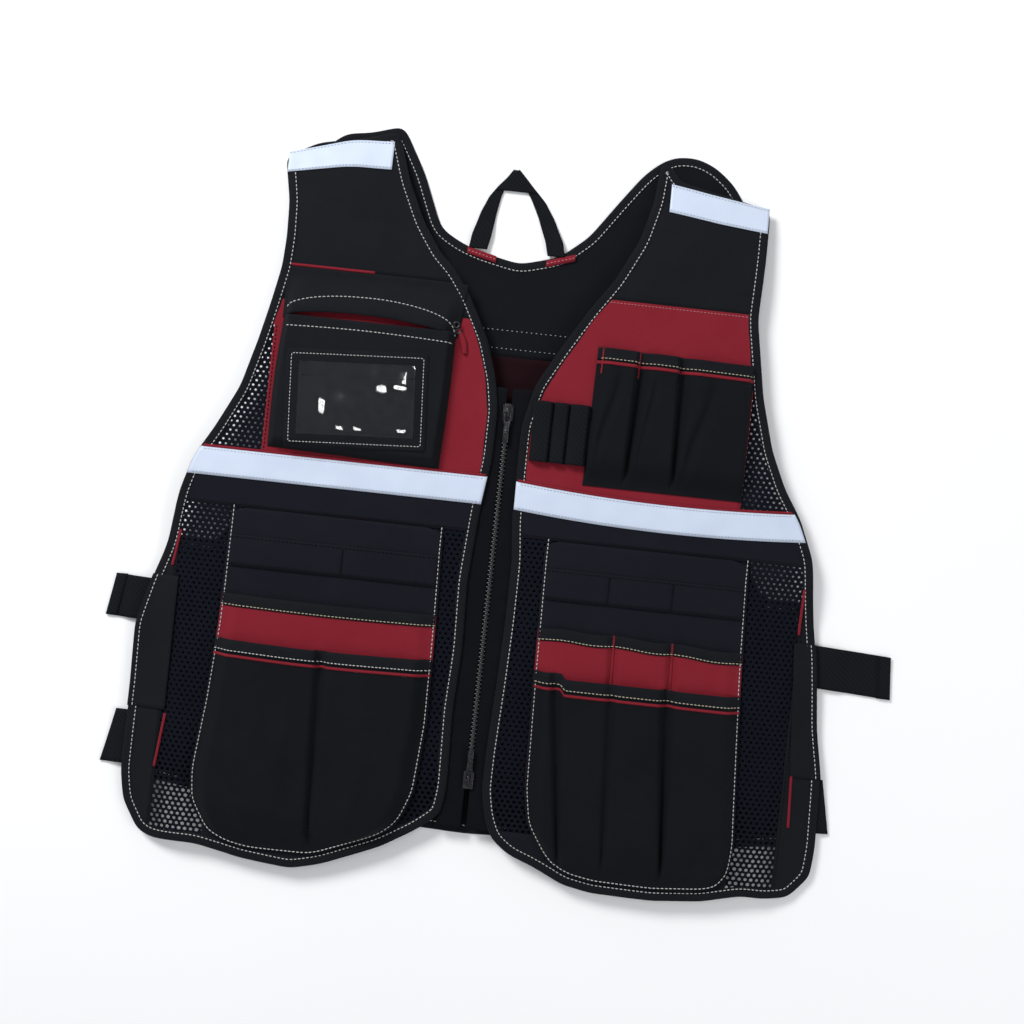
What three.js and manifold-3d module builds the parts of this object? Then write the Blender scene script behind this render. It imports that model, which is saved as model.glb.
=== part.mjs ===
// Utility work vest, lying on its back with the two fronts zipped together.
// Millimetres. X runs across the vest, Y from the hem to the shoulders, and Z up from what it lies on.
// Side -1 is the wearer's right front, at low X, and side +1 the wearer's left front.
import * as THREE from "three";
import { mergeVertices } from "three/addons/utils/BufferGeometryUtils.js";
import Module from "manifold-3d";

const wasm = await Module();
wasm.setup();

// Driving sizes of the body
const HALF_WIDTH = 300;
const LENGTH = 650;
const TORSO_GAP = 12;
const TAPE_Y = 341;
const CHEST_HEIGHT = 177;
const YOKE_HEIGHT = 37;
const SIDE_STRIP_WIDTH = 27;
const GUSSET_WIDTH = 90;
const GUSSET_HEIGHT = 129;
const BACK_TAPE_Y = 475;
const BACK_SEAM_MARGIN = 3;

// Cloth, webbing and the gaps between layers
const BACK_CLOTH = 2;
const CLOTH = 1.2;
const TAPE_CLOTH = 1;
const WEBBING = 1.8;
const BINDING_WIDTH = 9;
const BINDING_FOLD = 0.8;
const LAYER_GAP = 0.3;
const SEAM_GAP = 0.3;

// Reflective tapes and bands
const TAPE_WIDTH = 24.5;
const RIGHT_TAPE_SAG = 8;
const SHOULDER_TAPE_WIDTH = 25;
const BAND_WIDTH = 27;
const BAND_DROP = 24;
const BACK_TAPE_DEPTH = 0.9;

// Lower pockets
const BACK_POCKET_DEPTH = 5.5;
const FRONT_POCKET_DEPTH = 6.5;
const BACK_POCKET_DROP = 25;
const RED_BAND_HEIGHT = 39;
const POCKET_RAMP = 8;

// Chest pocket with its flap, and the identity window on it
const CHEST_POCKET_X = 55;
const CHEST_POCKET_WIDTH = 150;
const CHEST_POCKET_HEIGHT = 114;
const CHEST_POCKET_DEPTH = 14;
const CHEST_POCKET_MARGIN = 4;
const CHEST_POCKET_RAMP = 12;
const CHEST_FLAP_HEIGHT = 34;
const CHEST_FLAP_ARCH = 10;
const CHEST_FLAP_LIFT = 12;
const CHEST_FLAP_SLIT = 12;
const ID_FRAME_WIDTH = 120;
const ID_FRAME_HEIGHT = 75;
const ID_FRAME_MARGIN = 11;
const ID_FRAME_RISE = 2;
const ID_FRAME_BORDER = 15;
const CHEST_PULL_SIZE = 5;
const CHEST_PULL_LENGTH = 20;

// Tool pocket and the elastic loops for pens beside it
const TOOL_POCKET_X = 71;
const TOOL_POCKET_WIDTH = 139;
const TOOL_POCKET_HEIGHT = 119;
const TOOL_POCKET_DEPTH = 10;
const TOOL_POCKET_MARGIN = 1.5;
const TOOL_POCKET_RAMP = 16;
const PEN_LOOP_COUNT = 3;
const PEN_LOOPS_WIDTH = 43;
const PEN_LOOP_HEIGHT = 52;
const PEN_LOOP_DEPTH = 7;
const PEN_LOOP_RAMP = 2;
const PEN_LOOP_MARGIN = 3;
const PEN_LOOP_RISE = 16;

// Straps and the patches that they come out under
const STRAP_INNER_X = 250;
const UPPER_STRAP_WIDTH = 37;
const LOWER_STRAP_WIDTH = 47;
const STRAP_OVERHANG = 10;
const STRAP_DROP_RUN = 10;
const PATCH_HEIGHT = 117;
const PATCH_DROP = 66;

// Zip
const ZIP_TAPE_HALF = 24;
const ZIP_TOP_MARGIN = 18;
const ZIP_BOTTOM_MARGIN = 40;
const SLIDER_TOP_Y = 414;
const SLIDER_BOTTOM_Y = 86;
const TEETH_WIDTH = 5.6;
const TEETH_THICKNESS = 2.8;
const TOOTH_PITCH = 8;
const SLIDER_WIDTH = 9;
const SLIDER_LENGTH = 15;
const SLIDER_GRIP = 10.5;
const SLIDER_PLATE = 1.2;
const BRIDGE_HEIGHT = 3.6;
const BRIDGE_LENGTH = 11;
const BRIDGE_WIDTH = 2;
const BRIDGE_WALL = 1.1;
const PULL_BAR_RADIUS = 0.7;
const PULL_WIDTH = 6;
const PULL_LENGTH = 28;
const PULL_EYE_LENGTH = 9;
const PULL_ARM = 1.4;
const PULL_CLEARANCE = 0.5;

// Coarse net: the width and height of a gap, and the bar between two gaps
const NET_GAP_X = 12;
const NET_GAP_Y = 17;
const NET_BAR = 3.2;

// Colours from the real cloth
const BLACK = 0x1e2126;
const NAVY = 0x1c1c26;
const RED = 0x8a2534;
const SILVER = 0xe2eaf5;
const NET = 0x0a0d16;
const METAL = 0x2a2c30;

// How tall the shapes that cut the cloth are, and how far they reach past it
const TALL = 200;
const REACH = 65;
const CUT = 1;
const JOIN = 0.01;

// Front outlines, from the outer shoulder corner down the side, along the hem and up the middle to the neck.
// across is a share of HALF_WIDTH and up a share of LENGTH.
const LEFT_FRONT = [
  { across: 0.723, up: 0.942 },
  { across: 0.697, up: 0.883 },
  { across: 0.693, up: 0.835 },
  { across: 0.697, up: 0.795 },
  { across: 0.717, up: 0.748 },
  { across: 0.743, up: 0.692 },
  { across: 0.78, up: 0.629 },
  { across: 0.84, up: 0.572 },
  { across: 0.893, up: 0.529 },
  { across: 0.922, up: 0.482 },
  { across: 0.943, up: 0.412 },
  { across: 0.977, up: 0.365 },
  { across: 1.013, up: 0.298 },
  { across: 1.01, up: 0.222 },
  { across: 1.013, up: 0.1 },
  { across: 0.997, up: 0.06 },
  { across: 0.945, up: 0.022 },
  { across: 0.9, up: 0.014 },
  { across: 0.77, up: 0.014 },
  { across: 0.633, up: 0.001 },
  { across: 0.487, up: -0.006 },
  { across: 0.4, up: 0.004 },
  { across: 0.233, up: 0.036 },
  { across: 0.137, up: 0.063 },
  { across: 0.07, up: 0.088 },
  { across: 0.06, up: 0.125 },
  { across: 0.066, up: 0.228 },
  { across: 0.058, up: 0.309 },
  { across: 0.064, up: 0.403 },
  { across: 0.05, up: 0.498 },
  { across: 0.031, up: 0.566 },
  { across: 0.03, up: 0.634 },
  { across: 0.045, up: 0.674 },
  { across: 0.08, up: 0.725 },
  { across: 0.147, up: 0.783 },
  { across: 0.197, up: 0.815 },
  { across: 0.243, up: 0.834 },
  { across: 0.302, up: 0.874 },
  { across: 0.357, up: 0.929 },
  { across: 0.403, up: 0.994 },
  { across: 0.5, up: 0.98 },
  { across: 0.633, up: 0.967 },
];
const RIGHT_FRONT = [
  { across: 0.697, up: 0.94 },
  { across: 0.697, up: 0.872 },
  { across: 0.692, up: 0.791 },
  { across: 0.707, up: 0.751 },
  { across: 0.733, up: 0.685 },
  { across: 0.773, up: 0.62 },
  { across: 0.823, up: 0.569 },
  { across: 0.877, up: 0.531 },
  { across: 0.924, up: 0.48 },
  { across: 0.94, up: 0.426 },
  { across: 0.97, up: 0.348 },
  { across: 0.993, up: 0.254 },
  { across: 1.02, up: 0.188 },
  { across: 1.027, up: 0.094 },
  { across: 1.02, up: 0.054 },
  { across: 0.963, up: 0.024 },
  { across: 0.893, up: 0.02 },
  { across: 0.82, up: 0.022 },
  { across: 0.707, up: 0.009 },
  { across: 0.56, up: 0.003 },
  { across: 0.387, up: 0.004 },
  { across: 0.303, up: 0.011 },
  { across: 0.213, up: 0.031 },
  { across: 0.133, up: 0.045 },
  { across: 0.083, up: 0.063 },
  { across: 0.057, up: 0.091 },
  { across: 0.042, up: 0.126 },
  { across: 0.043, up: 0.18 },
  { across: 0.052, up: 0.274 },
  { across: 0.057, up: 0.355 },
  { across: 0.057, up: 0.435 },
  { across: 0.045, up: 0.489 },
  { across: 0.043, up: 0.557 },
  { across: 0.043, up: 0.617 },
  { across: 0.07, up: 0.672 },
  { across: 0.13, up: 0.723 },
  { across: 0.203, up: 0.78 },
  { across: 0.267, up: 0.823 },
  { across: 0.327, up: 0.88 },
  { across: 0.357, up: 0.935 },
  { across: 0.367, up: 0.991 },
  { across: 0.403, up: 0.986 },
  { across: 0.427, up: 0.966 },
  { across: 0.55, up: 0.955 },
];

// Back outline from the middle of the hem, up the right side, round the neck and down the left side.
const BACK = [
  { across: 0, up: 0.061 },
  { across: 0.5, up: 0.07 },
  { across: 0.8, up: 0.082 },
  { across: 0.96, up: 0.092 },
  { across: 1, up: 0.13 },
  { across: 1.005, up: 0.22 },
  { across: 0.985, up: 0.29 },
  { across: 0.95, up: 0.37 },
  { across: 0.91, up: 0.425 },
  { across: 0.87, up: 0.42 },
  { across: 0.8, up: 0.42 },
  { across: 0.75, up: 0.46 },
  { across: 0.705, up: 0.54 },
  { across: 0.67, up: 0.64 },
  { across: 0.655, up: 0.74 },
  { across: 0.66, up: 0.82 },
  { across: 0.66, up: 0.9 },
  { across: 0.633, up: 0.94 },
  { across: 0.587, up: 0.971 },
  { across: 0.53, up: 0.992 },
  { across: 0.473, up: 1.002 },
  { across: 0.41, up: 1.001 },
  { across: 0.367, up: 0.991 },
  { across: 0.32, up: 0.971 },
  { across: 0.257, up: 0.931 },
  { across: 0.18, up: 0.88 },
  { across: 0.1, up: 0.849 },
  { across: -0.013, up: 0.834 },
  { across: -0.13, up: 0.845 },
  { across: -0.187, up: 0.854 },
  { across: -0.253, up: 0.871 },
  { across: -0.317, up: 0.942 },
  { across: -0.393, up: 1.003 },
  { across: -0.487, up: 0.989 },
  { across: -0.56, up: 0.985 },
  { across: -0.633, up: 0.955 },
  { across: -0.66, up: 0.9 },
  { across: -0.66, up: 0.82 },
  { across: -0.655, up: 0.74 },
  { across: -0.67, up: 0.64 },
  { across: -0.705, up: 0.54 },
  { across: -0.75, up: 0.46 },
  { across: -0.8, up: 0.42 },
  { across: -0.87, up: 0.42 },
  { across: -0.91, up: 0.425 },
  { across: -0.95, up: 0.37 },
  { across: -0.985, up: 0.29 },
  { across: -1.005, up: 0.22 },
  { across: -1, up: 0.13 },
  { across: -0.96, up: 0.092 },
  { across: -0.8, up: 0.082 },
  { across: -0.5, up: 0.07 },
];

// Shoulder tapes, from the outer end to the neck: across is a share of HALF_WIDTH, up of LENGTH and
// deep of SHOULDER_TAPE_WIDTH.
const LEFT_SHOULDER_TAPE = [
  { across: 0.713, up: 0.949, deep: 0.6 },
  { across: 0.533, up: 0.975, deep: 0.9 },
  { across: 0.413, up: 0.978, deep: 1 },
];
const RIGHT_SHOULDER_TAPE = [
  { across: 0.693, up: 0.942, deep: 0.6 },
  { across: 0.55, up: 0.951, deep: 0.9 },
  { across: 0.403, up: 0.962, deep: 1 },
];

// Straps: root and rise are shares of PANEL_TOP_Y, and low and high, the corners of the tip, of HALF_WIDTH.
const STRAPS = [
  { name: "upper_strap", side: -1, width: UPPER_STRAP_WIDTH, root: 0.7, rise: 0.01, low: 1.107, high: 1.087 },
  { name: "lower_strap", side: -1, width: LOWER_STRAP_WIDTH, root: 0.306, rise: 0, low: 1.08, high: 1.047 },
  { name: "upper_strap", side: 1, width: UPPER_STRAP_WIDTH, root: 0.727, rise: -0.02, low: 1.2, high: 1.19 },
  { name: "lower_strap", side: 1, width: LOWER_STRAP_WIDTH, root: 0.319, rise: 0, low: 1.063, high: 1.03 },
];

// Lower pocket panels, a row for each height: up is a share of PANEL_TOP_Y, outer and inner of HALF_WIDTH.
const LEFT_PANEL_ROWS = [
  { up: 0.03, outer: 0.655, inner: 0.4 },
  { up: 0.072, outer: 0.742, inner: 0.265 },
  { up: 0.158, outer: 0.797, inner: 0.183 },
  { up: 0.243, outer: 0.805, inner: 0.15 },
  { up: 0.44, outer: 0.785, inner: 0.135 },
  { up: 0.67, outer: 0.77, inner: 0.138 },
  { up: 1, outer: 0.767, inner: 0.147 },
];
const RIGHT_PANEL_ROWS = [
  { up: 0.033, outer: 0.67, inner: 0.37 },
  { up: 0.06, outer: 0.747, inner: 0.28 },
  { up: 0.105, outer: 0.78, inner: 0.235 },
  { up: 0.188, outer: 0.787, inner: 0.18 },
  { up: 0.286, outer: 0.78, inner: 0.163 },
  { up: 0.65, outer: 0.757, inner: 0.153 },
  { up: 1, outer: 0.743, inner: 0.147 },
];

// Dividers of the pockets: shares of the width from the outer side, at the bottom and at the top
const RIGHT_BACK_DIVIDERS = [
  [0.345, 0.345],
  [0.63, 0.63],
];
const LEFT_FRONT_DIVIDERS = [[0.52, 0.47]];
const RIGHT_FRONT_DIVIDERS = [
  [0.348, 0.37],
  [0.834, 0.9],
];
const TOOL_DIVIDERS = [
  [0.48, 0.47],
  [0.75, 0.73],
];

// Chest pocket flap, from its sewn top to its free edge: shares of its height, lift and ramp
const FLAP_ROWS = [
  { down: 0, lift: 0, narrow: 0.5 },
  { down: 0.35, lift: 0.7, narrow: 0.2 },
  { down: 1, lift: 1, narrow: 0 },
];
const FLAP_COLUMNS = [
  { across: 0, lift: 0, arch: 0 },
  { across: 0.08, lift: 1, arch: 0.5 },
  { across: 0.35, lift: 1.1, arch: 1 },
  { across: 0.65, lift: 1.1, arch: 1 },
  { across: 0.92, lift: 1, arch: 0.5 },
  { across: 1, lift: 0, arch: 0 },
];

// Hanging loop, a row for each height from its feet to its point: shares of its spread and height
const LOOP_X = -10;
const LOOP_HEIGHT = 72;
const LOOP_SPREAD = 40;
const LOOP_DROP_START = 16;
const LOOP_DROP = 12;
const LOOP_NECK_ROW = 27;
const LOOP_ROWS = [
  { up: 0, outerLeft: -1, innerLeft: -0.6, innerRight: 0.74, outerRight: 1.12 },
  { up: 0.17, outerLeft: -0.96, innerLeft: -0.54, innerRight: 0.66, outerRight: 1.05 },
  { up: 0.65, outerLeft: -0.67, innerLeft: -0.42, innerRight: 0.28, outerRight: 0.56 },
  { up: 0.78, outerLeft: -0.5, innerLeft: -0.36, innerRight: 0.14, outerRight: 0.32 },
  { up: 1, outerLeft: -0.17, outerRight: -0.1 },
];

// Seams and edges across the vest
const PANEL_TOP_Y = TAPE_Y - YOKE_HEIGHT;
const CHEST_SEAM_Y = TAPE_Y + CHEST_HEIGHT;
const GUSSET_TOP_Y = TAPE_Y + GUSSET_HEIGHT;
const TAPE_TOP_Y = TAPE_Y + TAPE_WIDTH / 2;
const BACK_SEAM_Y = BACK_TAPE_Y - TAPE_WIDTH / 2 - BACK_SEAM_MARGIN;
const BAND_TOP_Y = PANEL_TOP_Y - BAND_DROP;
const BACK_POCKET_TOP_Y = BAND_TOP_Y - BAND_WIDTH - BACK_POCKET_DROP;
const FRONT_POCKET_TOP_Y = BACK_POCKET_TOP_Y - RED_BAND_HEIGHT;
const CHEST_POCKET_Y = TAPE_TOP_Y + CHEST_POCKET_MARGIN;
const TOOL_POCKET_Y = TAPE_TOP_Y + TOOL_POCKET_MARGIN;
const PATCH_TOP_Y = PANEL_TOP_Y - PATCH_DROP;
const STRIP_INNER_X = HALF_WIDTH - SIDE_STRIP_WIDTH;
const GUSSET_X = HALF_WIDTH - GUSSET_WIDTH;
const FAR_X = HALF_WIDTH + REACH;

// Where the fronts leave their flat middle: at the side edges below the armholes, and over the shoulders
const SIDE_FALL_WIDTH = 57;
const SIDE_FALL_DROP = 4;
const SIDE_FALL_RUN = 45;
const SHOULDER_FALL_RISE = 8;
const SHOULDER_FOLD_DROP = 10;
const SIDE_FALL_X = HALF_WIDTH - SIDE_FALL_WIDTH;
const SIDE_FALL_TOP_Y = PANEL_TOP_Y - SIDE_FALL_DROP;
const SHOULDER_FALL_Y = CHEST_SEAM_Y + SHOULDER_FALL_RISE;
const SHOULDER_FOLD_Y = LENGTH - SHOULDER_FOLD_DROP;

// Levels of the layers
const FRONT_Z = BACK_CLOTH + TORSO_GAP;
const SIDE_Z = BACK_CLOTH + LAYER_GAP + WEBBING + LAYER_GAP + BINDING_FOLD;
const FOLD_Z = BACK_CLOTH + LAYER_GAP + BINDING_FOLD;
const ON_FRONT = CLOTH + LAYER_GAP;
const ZIP_TAPE_TOP = -BINDING_FOLD - LAYER_GAP;
const TEETH_TOP = ZIP_TAPE_TOP - TAPE_CLOTH / 2 + TEETH_THICKNESS / 2;

const mix = (a, b, t) => a + (b - a) * t;
const clamp01 = (t) => Math.min(1, Math.max(0, t));
const smooth = (t) => clamp01(t) ** 2 * (3 - 2 * clamp01(t));

// Solids and booleans
function solidOf(geometry) {
  const bare = geometry.clone();
  bare.deleteAttribute("normal");
  bare.deleteAttribute("uv");
  const merged = mergeVertices(bare, 1e-4);
  return new wasm.Manifold(
    new wasm.Mesh({
      numProp: 3,
      vertProperties: new Float32Array(merged.attributes.position.array),
      triVerts: new Uint32Array(merged.index.array),
    }),
  );
}

function geometryOf(solid) {
  const mesh = solid.getMesh();
  const geometry = new THREE.BufferGeometry();
  geometry.setAttribute("position", new THREE.Float32BufferAttribute(mesh.vertProperties, 3));
  geometry.setIndex(new THREE.BufferAttribute(mesh.triVerts, 1));
  const faceted = geometry.toNonIndexed();
  faceted.computeVertexNormals();
  return faceted;
}

const shapeOf = (points) => new THREE.Shape(points.map(([x, y]) => new THREE.Vector2(x, y)));

function prism(points, bottom = -TALL / 2, top = TALL / 2) {
  const shapes = Array.isArray(points[0][0]) ? points.map(shapeOf) : shapeOf(points);
  const geometry = new THREE.ExtrudeGeometry(shapes, { depth: top - bottom, bevelEnabled: false });
  geometry.translate(0, 0, bottom);
  return solidOf(geometry);
}

// A closed sheet from rows of points: bottom and top faces and the walls between them.
function sheetGeometry(grid, thickness) {
  const rows = grid.length;
  const columns = grid[0].length;
  const positions = [];
  for (const lift of [0, thickness]) {
    for (const row of grid) for (const [x, y, z] of row) positions.push(x, y, z + lift);
  }
  const at = (layer, r, c) => layer * rows * columns + r * columns + c;
  const index = [];
  const quad = (a, b, c, d) => index.push(a, b, c, a, c, d);
  for (let r = 0; r + 1 < rows; r++) {
    for (let c = 0; c + 1 < columns; c++) {
      quad(at(1, r, c), at(1, r, c + 1), at(1, r + 1, c + 1), at(1, r + 1, c));
      quad(at(0, r, c), at(0, r + 1, c), at(0, r + 1, c + 1), at(0, r, c + 1));
    }
  }
  for (let c = 0; c + 1 < columns; c++) {
    quad(at(0, 0, c), at(0, 0, c + 1), at(1, 0, c + 1), at(1, 0, c));
    quad(at(0, rows - 1, c + 1), at(0, rows - 1, c), at(1, rows - 1, c), at(1, rows - 1, c + 1));
  }
  for (let r = 0; r + 1 < rows; r++) {
    quad(at(0, r + 1, 0), at(0, r, 0), at(1, r, 0), at(1, r + 1, 0));
    quad(at(0, r, columns - 1), at(0, r + 1, columns - 1), at(1, r + 1, columns - 1), at(1, r, columns - 1));
  }
  const geometry = new THREE.BufferGeometry();
  geometry.setAttribute("position", new THREE.Float32BufferAttribute(positions, 3));
  geometry.setIndex(index);
  return geometry;
}

// Outlines
const outlineOf = (table, side) =>
  table.map(({ across, up }) => [side * across * HALF_WIDTH, up * LENGTH]);

function areaOf(points) {
  let twice = 0;
  points.forEach(([x, y], i) => {
    const [nx, ny] = points[(i + 1) % points.length];
    twice += x * ny - nx * y;
  });
  return twice / 2;
}

const anticlockwise = (points) => (areaOf(points) > 0 ? points : [...points].reverse());

// Bands along every edge of a loop, reaching a distance to both sides of it
function edgeBands(loop, distance) {
  const bands = loop.map(([ax, ay], i) => {
    const start = new THREE.Vector2(ax, ay);
    const end = new THREE.Vector2(...loop[(i + 1) % loop.length]);
    const along = end.clone().sub(start).normalize();
    const across = new THREE.Vector2(-along.y, along.x).multiplyScalar(distance);
    start.addScaledVector(along, -reflexReach(loop, i, distance));
    end.addScaledVector(along, reflexReach(loop, (i + 1) % loop.length, distance));
    return prism([
      start.clone().sub(across).toArray(),
      end.clone().sub(across).toArray(),
      end.clone().add(across).toArray(),
      start.clone().add(across).toArray(),
    ]);
  });
  return wasm.Manifold.union(bands);
}

// A prism over a loop that is drawn in, or let out, by a distance
const insetPrism = (points, distance) =>
  prism(points).subtract(edgeBands(anticlockwise(points), distance));
const outsetPrism = (points, distance) => prism(points).add(edgeBands(anticlockwise(points), distance));

// How far the bands beside a corner that points inwards run past it, so that they meet.
function reflexReach(loop, i, distance) {
  const corner = new THREE.Vector2(...loop[i]);
  const before = corner.clone().sub(new THREE.Vector2(...loop[(i + loop.length - 1) % loop.length]));
  const after = new THREE.Vector2(...loop[(i + 1) % loop.length]).sub(corner);
  const turn = Math.atan2(before.cross(after), before.dot(after));
  return turn < 0 ? distance * Math.tan(-turn / 2) : 0;
}

function insideLoop([x, y], loop) {
  let inside = false;
  loop.forEach(([ax, ay], i) => {
    const [bx, by] = loop[(i + 1) % loop.length];
    if (ay > y !== by > y && x < ((bx - ax) * (y - ay)) / (by - ay) + ax) inside = !inside;
  });
  return inside;
}

const rectangle = (x0, y0, x1, y1) => [
  [Math.min(x0, x1), y0],
  [Math.max(x0, x1), y0],
  [Math.max(x0, x1), y1],
  [Math.min(x0, x1), y1],
];

const rectangleY = (halfWidth, y0, y1) =>
  rectangle(-halfWidth, Math.min(y0, y1), halfWidth, Math.max(y0, y1));

// The largest body of a piece that a cut has left in several
function largest(solid) {
  const bodies = solid.decompose();
  return bodies.reduce((best, body) => (body.volume() > best.volume() ? body : best));
}

// The outline of a flat prism, walked along its bottom edges
function outlineFrom(solid) {
  const { vertProperties, triVerts } = solid.getMesh();
  const next = new Map();
  const onFloor = (v) => vertProperties[3 * v + 2] < 0;
  const edges = new Set();
  for (let t = 0; t < triVerts.length; t += 3) {
    const [a, b, c] = [triVerts[t], triVerts[t + 1], triVerts[t + 2]];
    if (onFloor(a) && onFloor(b) && onFloor(c)) {
      for (const [p, q] of [[a, b], [b, c], [c, a]]) edges.add(p + "," + q);
    }
  }
  for (const edge of edges) {
    const [p, q] = edge.split(",");
    if (!edges.has(q + "," + p)) next.set(p, q);
  }
  const start = next.keys().next().value;
  const points = [];
  let at = start;
  do {
    points.push([vertProperties[3 * at], vertProperties[3 * at + 1]]);
    at = next.get(at);
  } while (at !== start && points.length <= next.size);
  return anticlockwise(points);
}

// The fronts lie flat over the chest and the pockets, and fall to the back at the sides and the shoulders.
function frontZ(x, y) {
  const towardsEdge = clamp01((Math.abs(x) - SIDE_FALL_X) / SIDE_FALL_WIDTH);
  const belowArmhole = clamp01((SIDE_FALL_TOP_Y - y) / SIDE_FALL_RUN);
  const sideFall = (FRONT_Z - SIDE_Z) * smooth(towardsEdge) * belowArmhole;
  const toFold = clamp01((y - SHOULDER_FALL_Y) / (SHOULDER_FOLD_Y - SHOULDER_FALL_Y));
  const shoulderFall = (FRONT_Z - FOLD_Z) * toFold * toFold;
  return FRONT_Z - sideFall - shoulderFall;
}

// Grid lines that all layers share, so that a gap between two layers is the same everywhere.
const GRID_STEPS = 3;
const linesBetween = (low, high) =>
  Array.from({ length: GRID_STEPS + 1 }, (_, i) => mix(low, high, i / GRID_STEPS));
const SIDE_LINES = [...linesBetween(SIDE_FALL_X, HALF_WIDTH), FAR_X];
const X_LINES = [...SIDE_LINES.map((x) => -x).reverse(), 0, ...SIDE_LINES];
const SHOULDER_LINES = linesBetween(SHOULDER_FALL_Y, SHOULDER_FOLD_Y);
const Y_LINES = [-REACH, SIDE_FALL_TOP_Y - SIDE_FALL_RUN, SIDE_FALL_TOP_Y, ...SHOULDER_LINES, LENGTH + REACH];

function slab(lift, thickness, heightAt = frontZ) {
  const grid = Y_LINES.map((y) => X_LINES.map((x) => [x, y, heightAt(x, y) + lift]));
  return solidOf(sheetGeometry(grid, thickness));
}

const cloth = (outline, lift = 0, thickness = CLOTH) => slab(lift, thickness).intersect(prism(outline));

// Pocket panels
const panelRows = (side) =>
  (side < 0 ? LEFT_PANEL_ROWS : RIGHT_PANEL_ROWS).map(({ up, outer, inner }) => ({
    y: up * PANEL_TOP_Y,
    outer: side * outer * HALF_WIDTH,
    inner: side * inner * HALF_WIDTH,
  }));

function rowAt(rows, y) {
  const found = rows.findIndex((row) => row.y >= y);
  const above = found === -1 ? rows.length - 1 : Math.max(1, found);
  const [low, high] = [rows[above - 1], rows[above]];
  const t = (y - low.y) / (high.y - low.y);
  return { y, outer: mix(low.outer, high.outer, t), inner: mix(low.inner, high.inner, t) };
}

// A pocket front: sewn down at both sides, the bottom and the dividers, and standing open at the top.
// Each divider is a pair of shares of the width from the outer side, at the bottom and at the top.
// under is the depth of what lies below it, which the dividers reach down to.
function pocketGrid({ rows, dividers, depth, baseZ, under = 0, bottomRamp = 2 * POCKET_RAMP }) {
  const seams = [[0, 0], ...dividers, [1, 1]];
  const bottomY = rows[0].y;
  const topY = rows[rows.length - 1].y;
  return rows.map((row) => {
    const t = (row.y - bottomY) / (topY - bottomY);
    const shares = seams.map(([low, high]) => mix(low, high, t));
    const narrowest = Math.min(...shares.slice(1).map((share, i) => share - shares[i]));
    const ramp = Math.min(POCKET_RAMP / Math.abs(row.outer - row.inner), narrowest / 4);
    const rise = clamp01((row.y - bottomY) / bottomRamp);
    const stations = [];
    shares.forEach((share, i) => {
      const edge = i === 0 || i === shares.length - 1;
      if (i > 0) stations.push([share - ramp, under + depth]);
      stations.push([share, edge ? 0 : under]);
      if (i + 1 < shares.length) stations.push([share + ramp, under + depth]);
    });
    return stations.map(([share, height]) => [
      mix(row.outer, row.inner, share),
      row.y,
      baseZ + height * rise,
    ]);
  });
}

function pocketSolid(grid, thickness = CLOTH) {
  const leftToRight = grid[0][0][0] < grid[0][grid[0].length - 1][0];
  const ordered = leftToRight ? grid : grid.map((row) => [...row].reverse());
  return solidOf(sheetGeometry(ordered, thickness));
}

function rowsBetween(rows, bottom, top) {
  const kept = rows.filter((row) => row.y > bottom + CUT && row.y < top - CUT);
  return [rowAt(rows, bottom), ...kept, rowAt(rows, top)];
}

// Net panels, cut through by a lattice of diamonds that is centred on a box
function netCuts([x0, y0, x1, y1], holds, margin) {
  const stepX = NET_GAP_X + NET_BAR;
  const stepY = NET_GAP_Y + NET_BAR;
  const countX = Math.ceil((x1 - x0) / stepX / 2) + 1;
  const countY = Math.ceil((y1 - y0) / stepY) + 1;
  const [middleX, middleY] = [(x0 + x1) / 2, (y0 + y1) / 2];
  const diamond = (x, y, grow) => [
    [x - NET_GAP_X / 2 - grow, y],
    [x, y - NET_GAP_Y / 2 - grow],
    [x + NET_GAP_X / 2 + grow, y],
    [x, y + NET_GAP_Y / 2 + grow],
  ];
  const cuts = [];
  for (let j = -countY; j <= countY; j++) {
    for (let i = -countX; i <= countX; i++) {
      const x = middleX + (i + Math.abs(j % 2) / 2) * stepX;
      const y = middleY + (j * stepY) / 2;
      if (diamond(x, y, margin).every(holds)) cuts.push(diamond(x, y, 0));
    }
  }
  return cuts;
}

function net(piece, box, holds, margin = 2) {
  const cuts = netCuts(box, holds, margin);
  return cuts.length ? piece.subtract(prism(cuts)) : piece;
}

const vest = new THREE.Group();
const materials = new Map();

function finish(color, roughness, metalness = 0, opacity = 1) {
  const key = [color, roughness, metalness, opacity].join();
  if (!materials.has(key)) {
    materials.set(
      key,
      new THREE.MeshStandardMaterial({ color, roughness, metalness, opacity, transparent: opacity < 1 }),
    );
  }
  return materials.get(key);
}

const BLACK_CLOTH = finish(BLACK, 0.85);
const NAVY_CLOTH = finish(NAVY, 0.85);
const RED_CLOTH = finish(RED, 0.75);
const NET_CLOTH = finish(NET, 0.8);
const REFLECTIVE = finish(SILVER, 0.35);
const ZIP_METAL = finish(METAL, 0.4, 0.6);
const CLEAR_FILM = finish(0xbfc6cc, 0.1, 0, 0.35);

function add(name, solid, material) {
  const mesh = new THREE.Mesh(geometryOf(solid), material);
  mesh.name = name;
  vest.add(mesh);
  return mesh;
}

const sideName = (side) => (side < 0 ? "left" : "right");

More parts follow.
